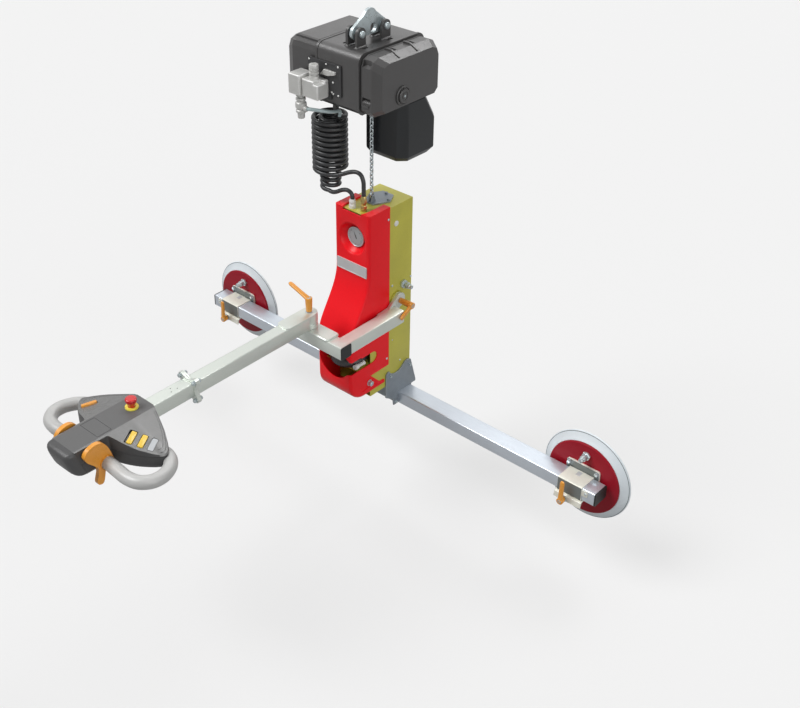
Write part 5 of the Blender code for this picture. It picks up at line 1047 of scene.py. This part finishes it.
# Controls
# A red mushroom button on a yellow ring stops the lifter. Two yellow rockers lower and raise the load, an
# orange one releases it, and an orange lever on the root of each grip is worked by the thumb.
stop_red = finish("stop_red", (0.62, 0.008, 0.012), 0.24, 0.06, 40, 600, coat=0.5)
ring_yellow = finish("ring_yellow", (0.88, 0.76, 0.09), 0.34, 0.06, 40, 600, "button_yellow")
button_yellow = finish("button_yellow", (0.86, 0.58, 0.07), 0.32, 0.06, 40, 600, coat=0.2)
STOP = (ARM_X, -1.128)
GRIP_ROOT = (-1.3, GRIP_Z)
ring = turned_ring([(0.0128, DECK_Z + 0.0003), (0.0225, DECK_Z + 0.0003), (0.0225, DECK_Z + 0.004),
    (0.0215, DECK_Z + 0.0053), (0.0128, DECK_Z + 0.0053)], "Z", STOP, 56)
piece("stop_ring", ring, ring_yellow, "arm", "estop_ring", smooth=35)
mushroom = turned([(radius, DECK_Z + above) for radius, above in ((0.012, 0.0043), (0.012, 0.0093),
    (0.0138, 0.0133), (0.0166, 0.0203), (0.0184, 0.0253), (0.0194, 0.0288), (0.0195, 0.0328),
    (0.019, 0.0351), (0.0176, 0.0365), (0.015, 0.0371), (0.0105, 0.0373), (0.005, 0.0373))], "Z", STOP, 56)
piece("stop_mushroom", mushroom, stop_red, "stop_button", "estop_button", smooth=50)
for name, x, y, body, node in BUTTONS:
    proud = 0.0035 if name == "release" else 0.0
    key = loft([[Vector((u, v, z + proud - 0.0012 * exp(-(v / 0.012) ** 2) * (z + proud > 0.0025)))
        for u, v in rounded((-0.009 + a, -0.026 + b), (0.009 - a, 0.026 - b), 0.0036, 4)]
        for z, a, b in ((-0.0075 - proud, 0, 0), (0.0018, 0, 0), (0.003, 0.0004, 0.0004),
        (0.0035, 0.0014, 0.0016))])
    piece("rocker_" + name, on_panel(key, x, y), lever_orange if name == "release" else button_yellow, body,
        node, smooth=40)

CHEEK = ((0.0262, -0.006), (0.024, 0.014), (0.014, 0.046), (0.002, 0.07), (-0.018, 0.085), (-0.044, 0.085),
    (-0.066, 0.075), (-0.077, 0.058), (-0.07, 0.038), (-0.052, 0.018), (-0.034, -0.004))
PADDLE = ((-0.034, -0.024), (-0.044, -0.058), (-0.036, -0.07), (-0.02, -0.067), (-0.008, -0.024))
outline = [(point.x + GRIP_ROOT[0], point.y + GRIP_ROOT[1]) for edge in (CHEEK, PADDLE)
    for point in spline([(*pair, 0) for pair in edge], 4)]
for side, hand in SIDES:
    near = ARM_X + side * 0.066
    far = near + side * 0.016
    collar = turned([(0.0262, near), (0.0262, far), (0.026, far + side * 0.003),
        (0.025, far + side * 0.005)], "X", GRIP_ROOT, 48)
    bore = rod(0.024, near - side * 0.01, far + side * 0.026, "X", GRIP_ROOT)
    lever = shaped(prism(outline, "X", near, far), [bore], [collar])
    piece("thumb_" + hand, lever, lever_orange, "thumb_%s_lever" % hand, "thumb_lever_" + hand, bevel=0.003,
        segments=4)


# Floor and light
# A plain pale floor lies far below the hanging lifter, and a pale room surrounds both. The main light stands
# high in front on the left, two behind bring out the tops and slopes, and one on the right fills the sides.
def show_pale(tree, shown):
    """How bright a surface looks to the eye and in polished metal, without lighting the lifter."""
    seen = wire(tree, "LightPath")
    direct = reckon(tree, "MAXIMUM", seen["Is Camera Ray"], seen["Is Transmission Ray"])
    mirrored = reckon(tree, "MULTIPLY", seen["Is Glossy Ray"], 0.4)
    return reckon(tree, "MULTIPLY", reckon(tree, "MAXIMUM", direct, mirrored), shown)


material = bpy.data.materials.new("floor")
material.use_nodes = True
shader = material.node_tree.nodes["Principled BSDF"].inputs
for key, value in (("Base Color", (0.24, 0.24, 0.24, 1)), ("Roughness", 0.9), ("Specular IOR Level", 0.1),
        ("Emission Color", (1, 1, 1, 1))):
    shader[key].default_value = value
material.node_tree.links.new(show_pale(material.node_tree, 0.6), shader["Emission Strength"])
grid = bmesh.new()
bmesh.ops.create_grid(grid, x_segments=2, y_segments=2, size=30)
floor = add("floor", as_mesh("floor", grid))
floor.data.materials.append(material)
floor.location = (0, 0, -1.95)

world = bpy.data.worlds.new("world")
bpy.context.scene.world = world
world.use_nodes = True
background = world.node_tree.nodes["Background"].inputs
background["Color"].default_value = (1, 1, 1, 1)
plain = reckon(world.node_tree, "ADD", show_pale(world.node_tree, 0.72), 0.14)
world.node_tree.links.new(plain, background["Strength"])
for name, towards_lamp, strength, spread in (("key", (-0.42, -0.47, 0.78), 2.3, 30),
        ("back", (-0.34, 0.62, 0.7), 0.85, 80), ("rim", (-0.05, 0.63, 0.77), 0.65, 22),
        ("side", (0.92, -0.2, 0.34), 1.2, 50)):
    lamp = bpy.data.lights.new(name, "SUN")
    lamp.energy = strength
    lamp.angle = radians(spread)
    add(name, lamp).rotation_euler = Vector(towards_lamp).to_track_quat("Z", "Y").to_euler()
bpy.context.scene.view_settings.view_transform = "Standard"
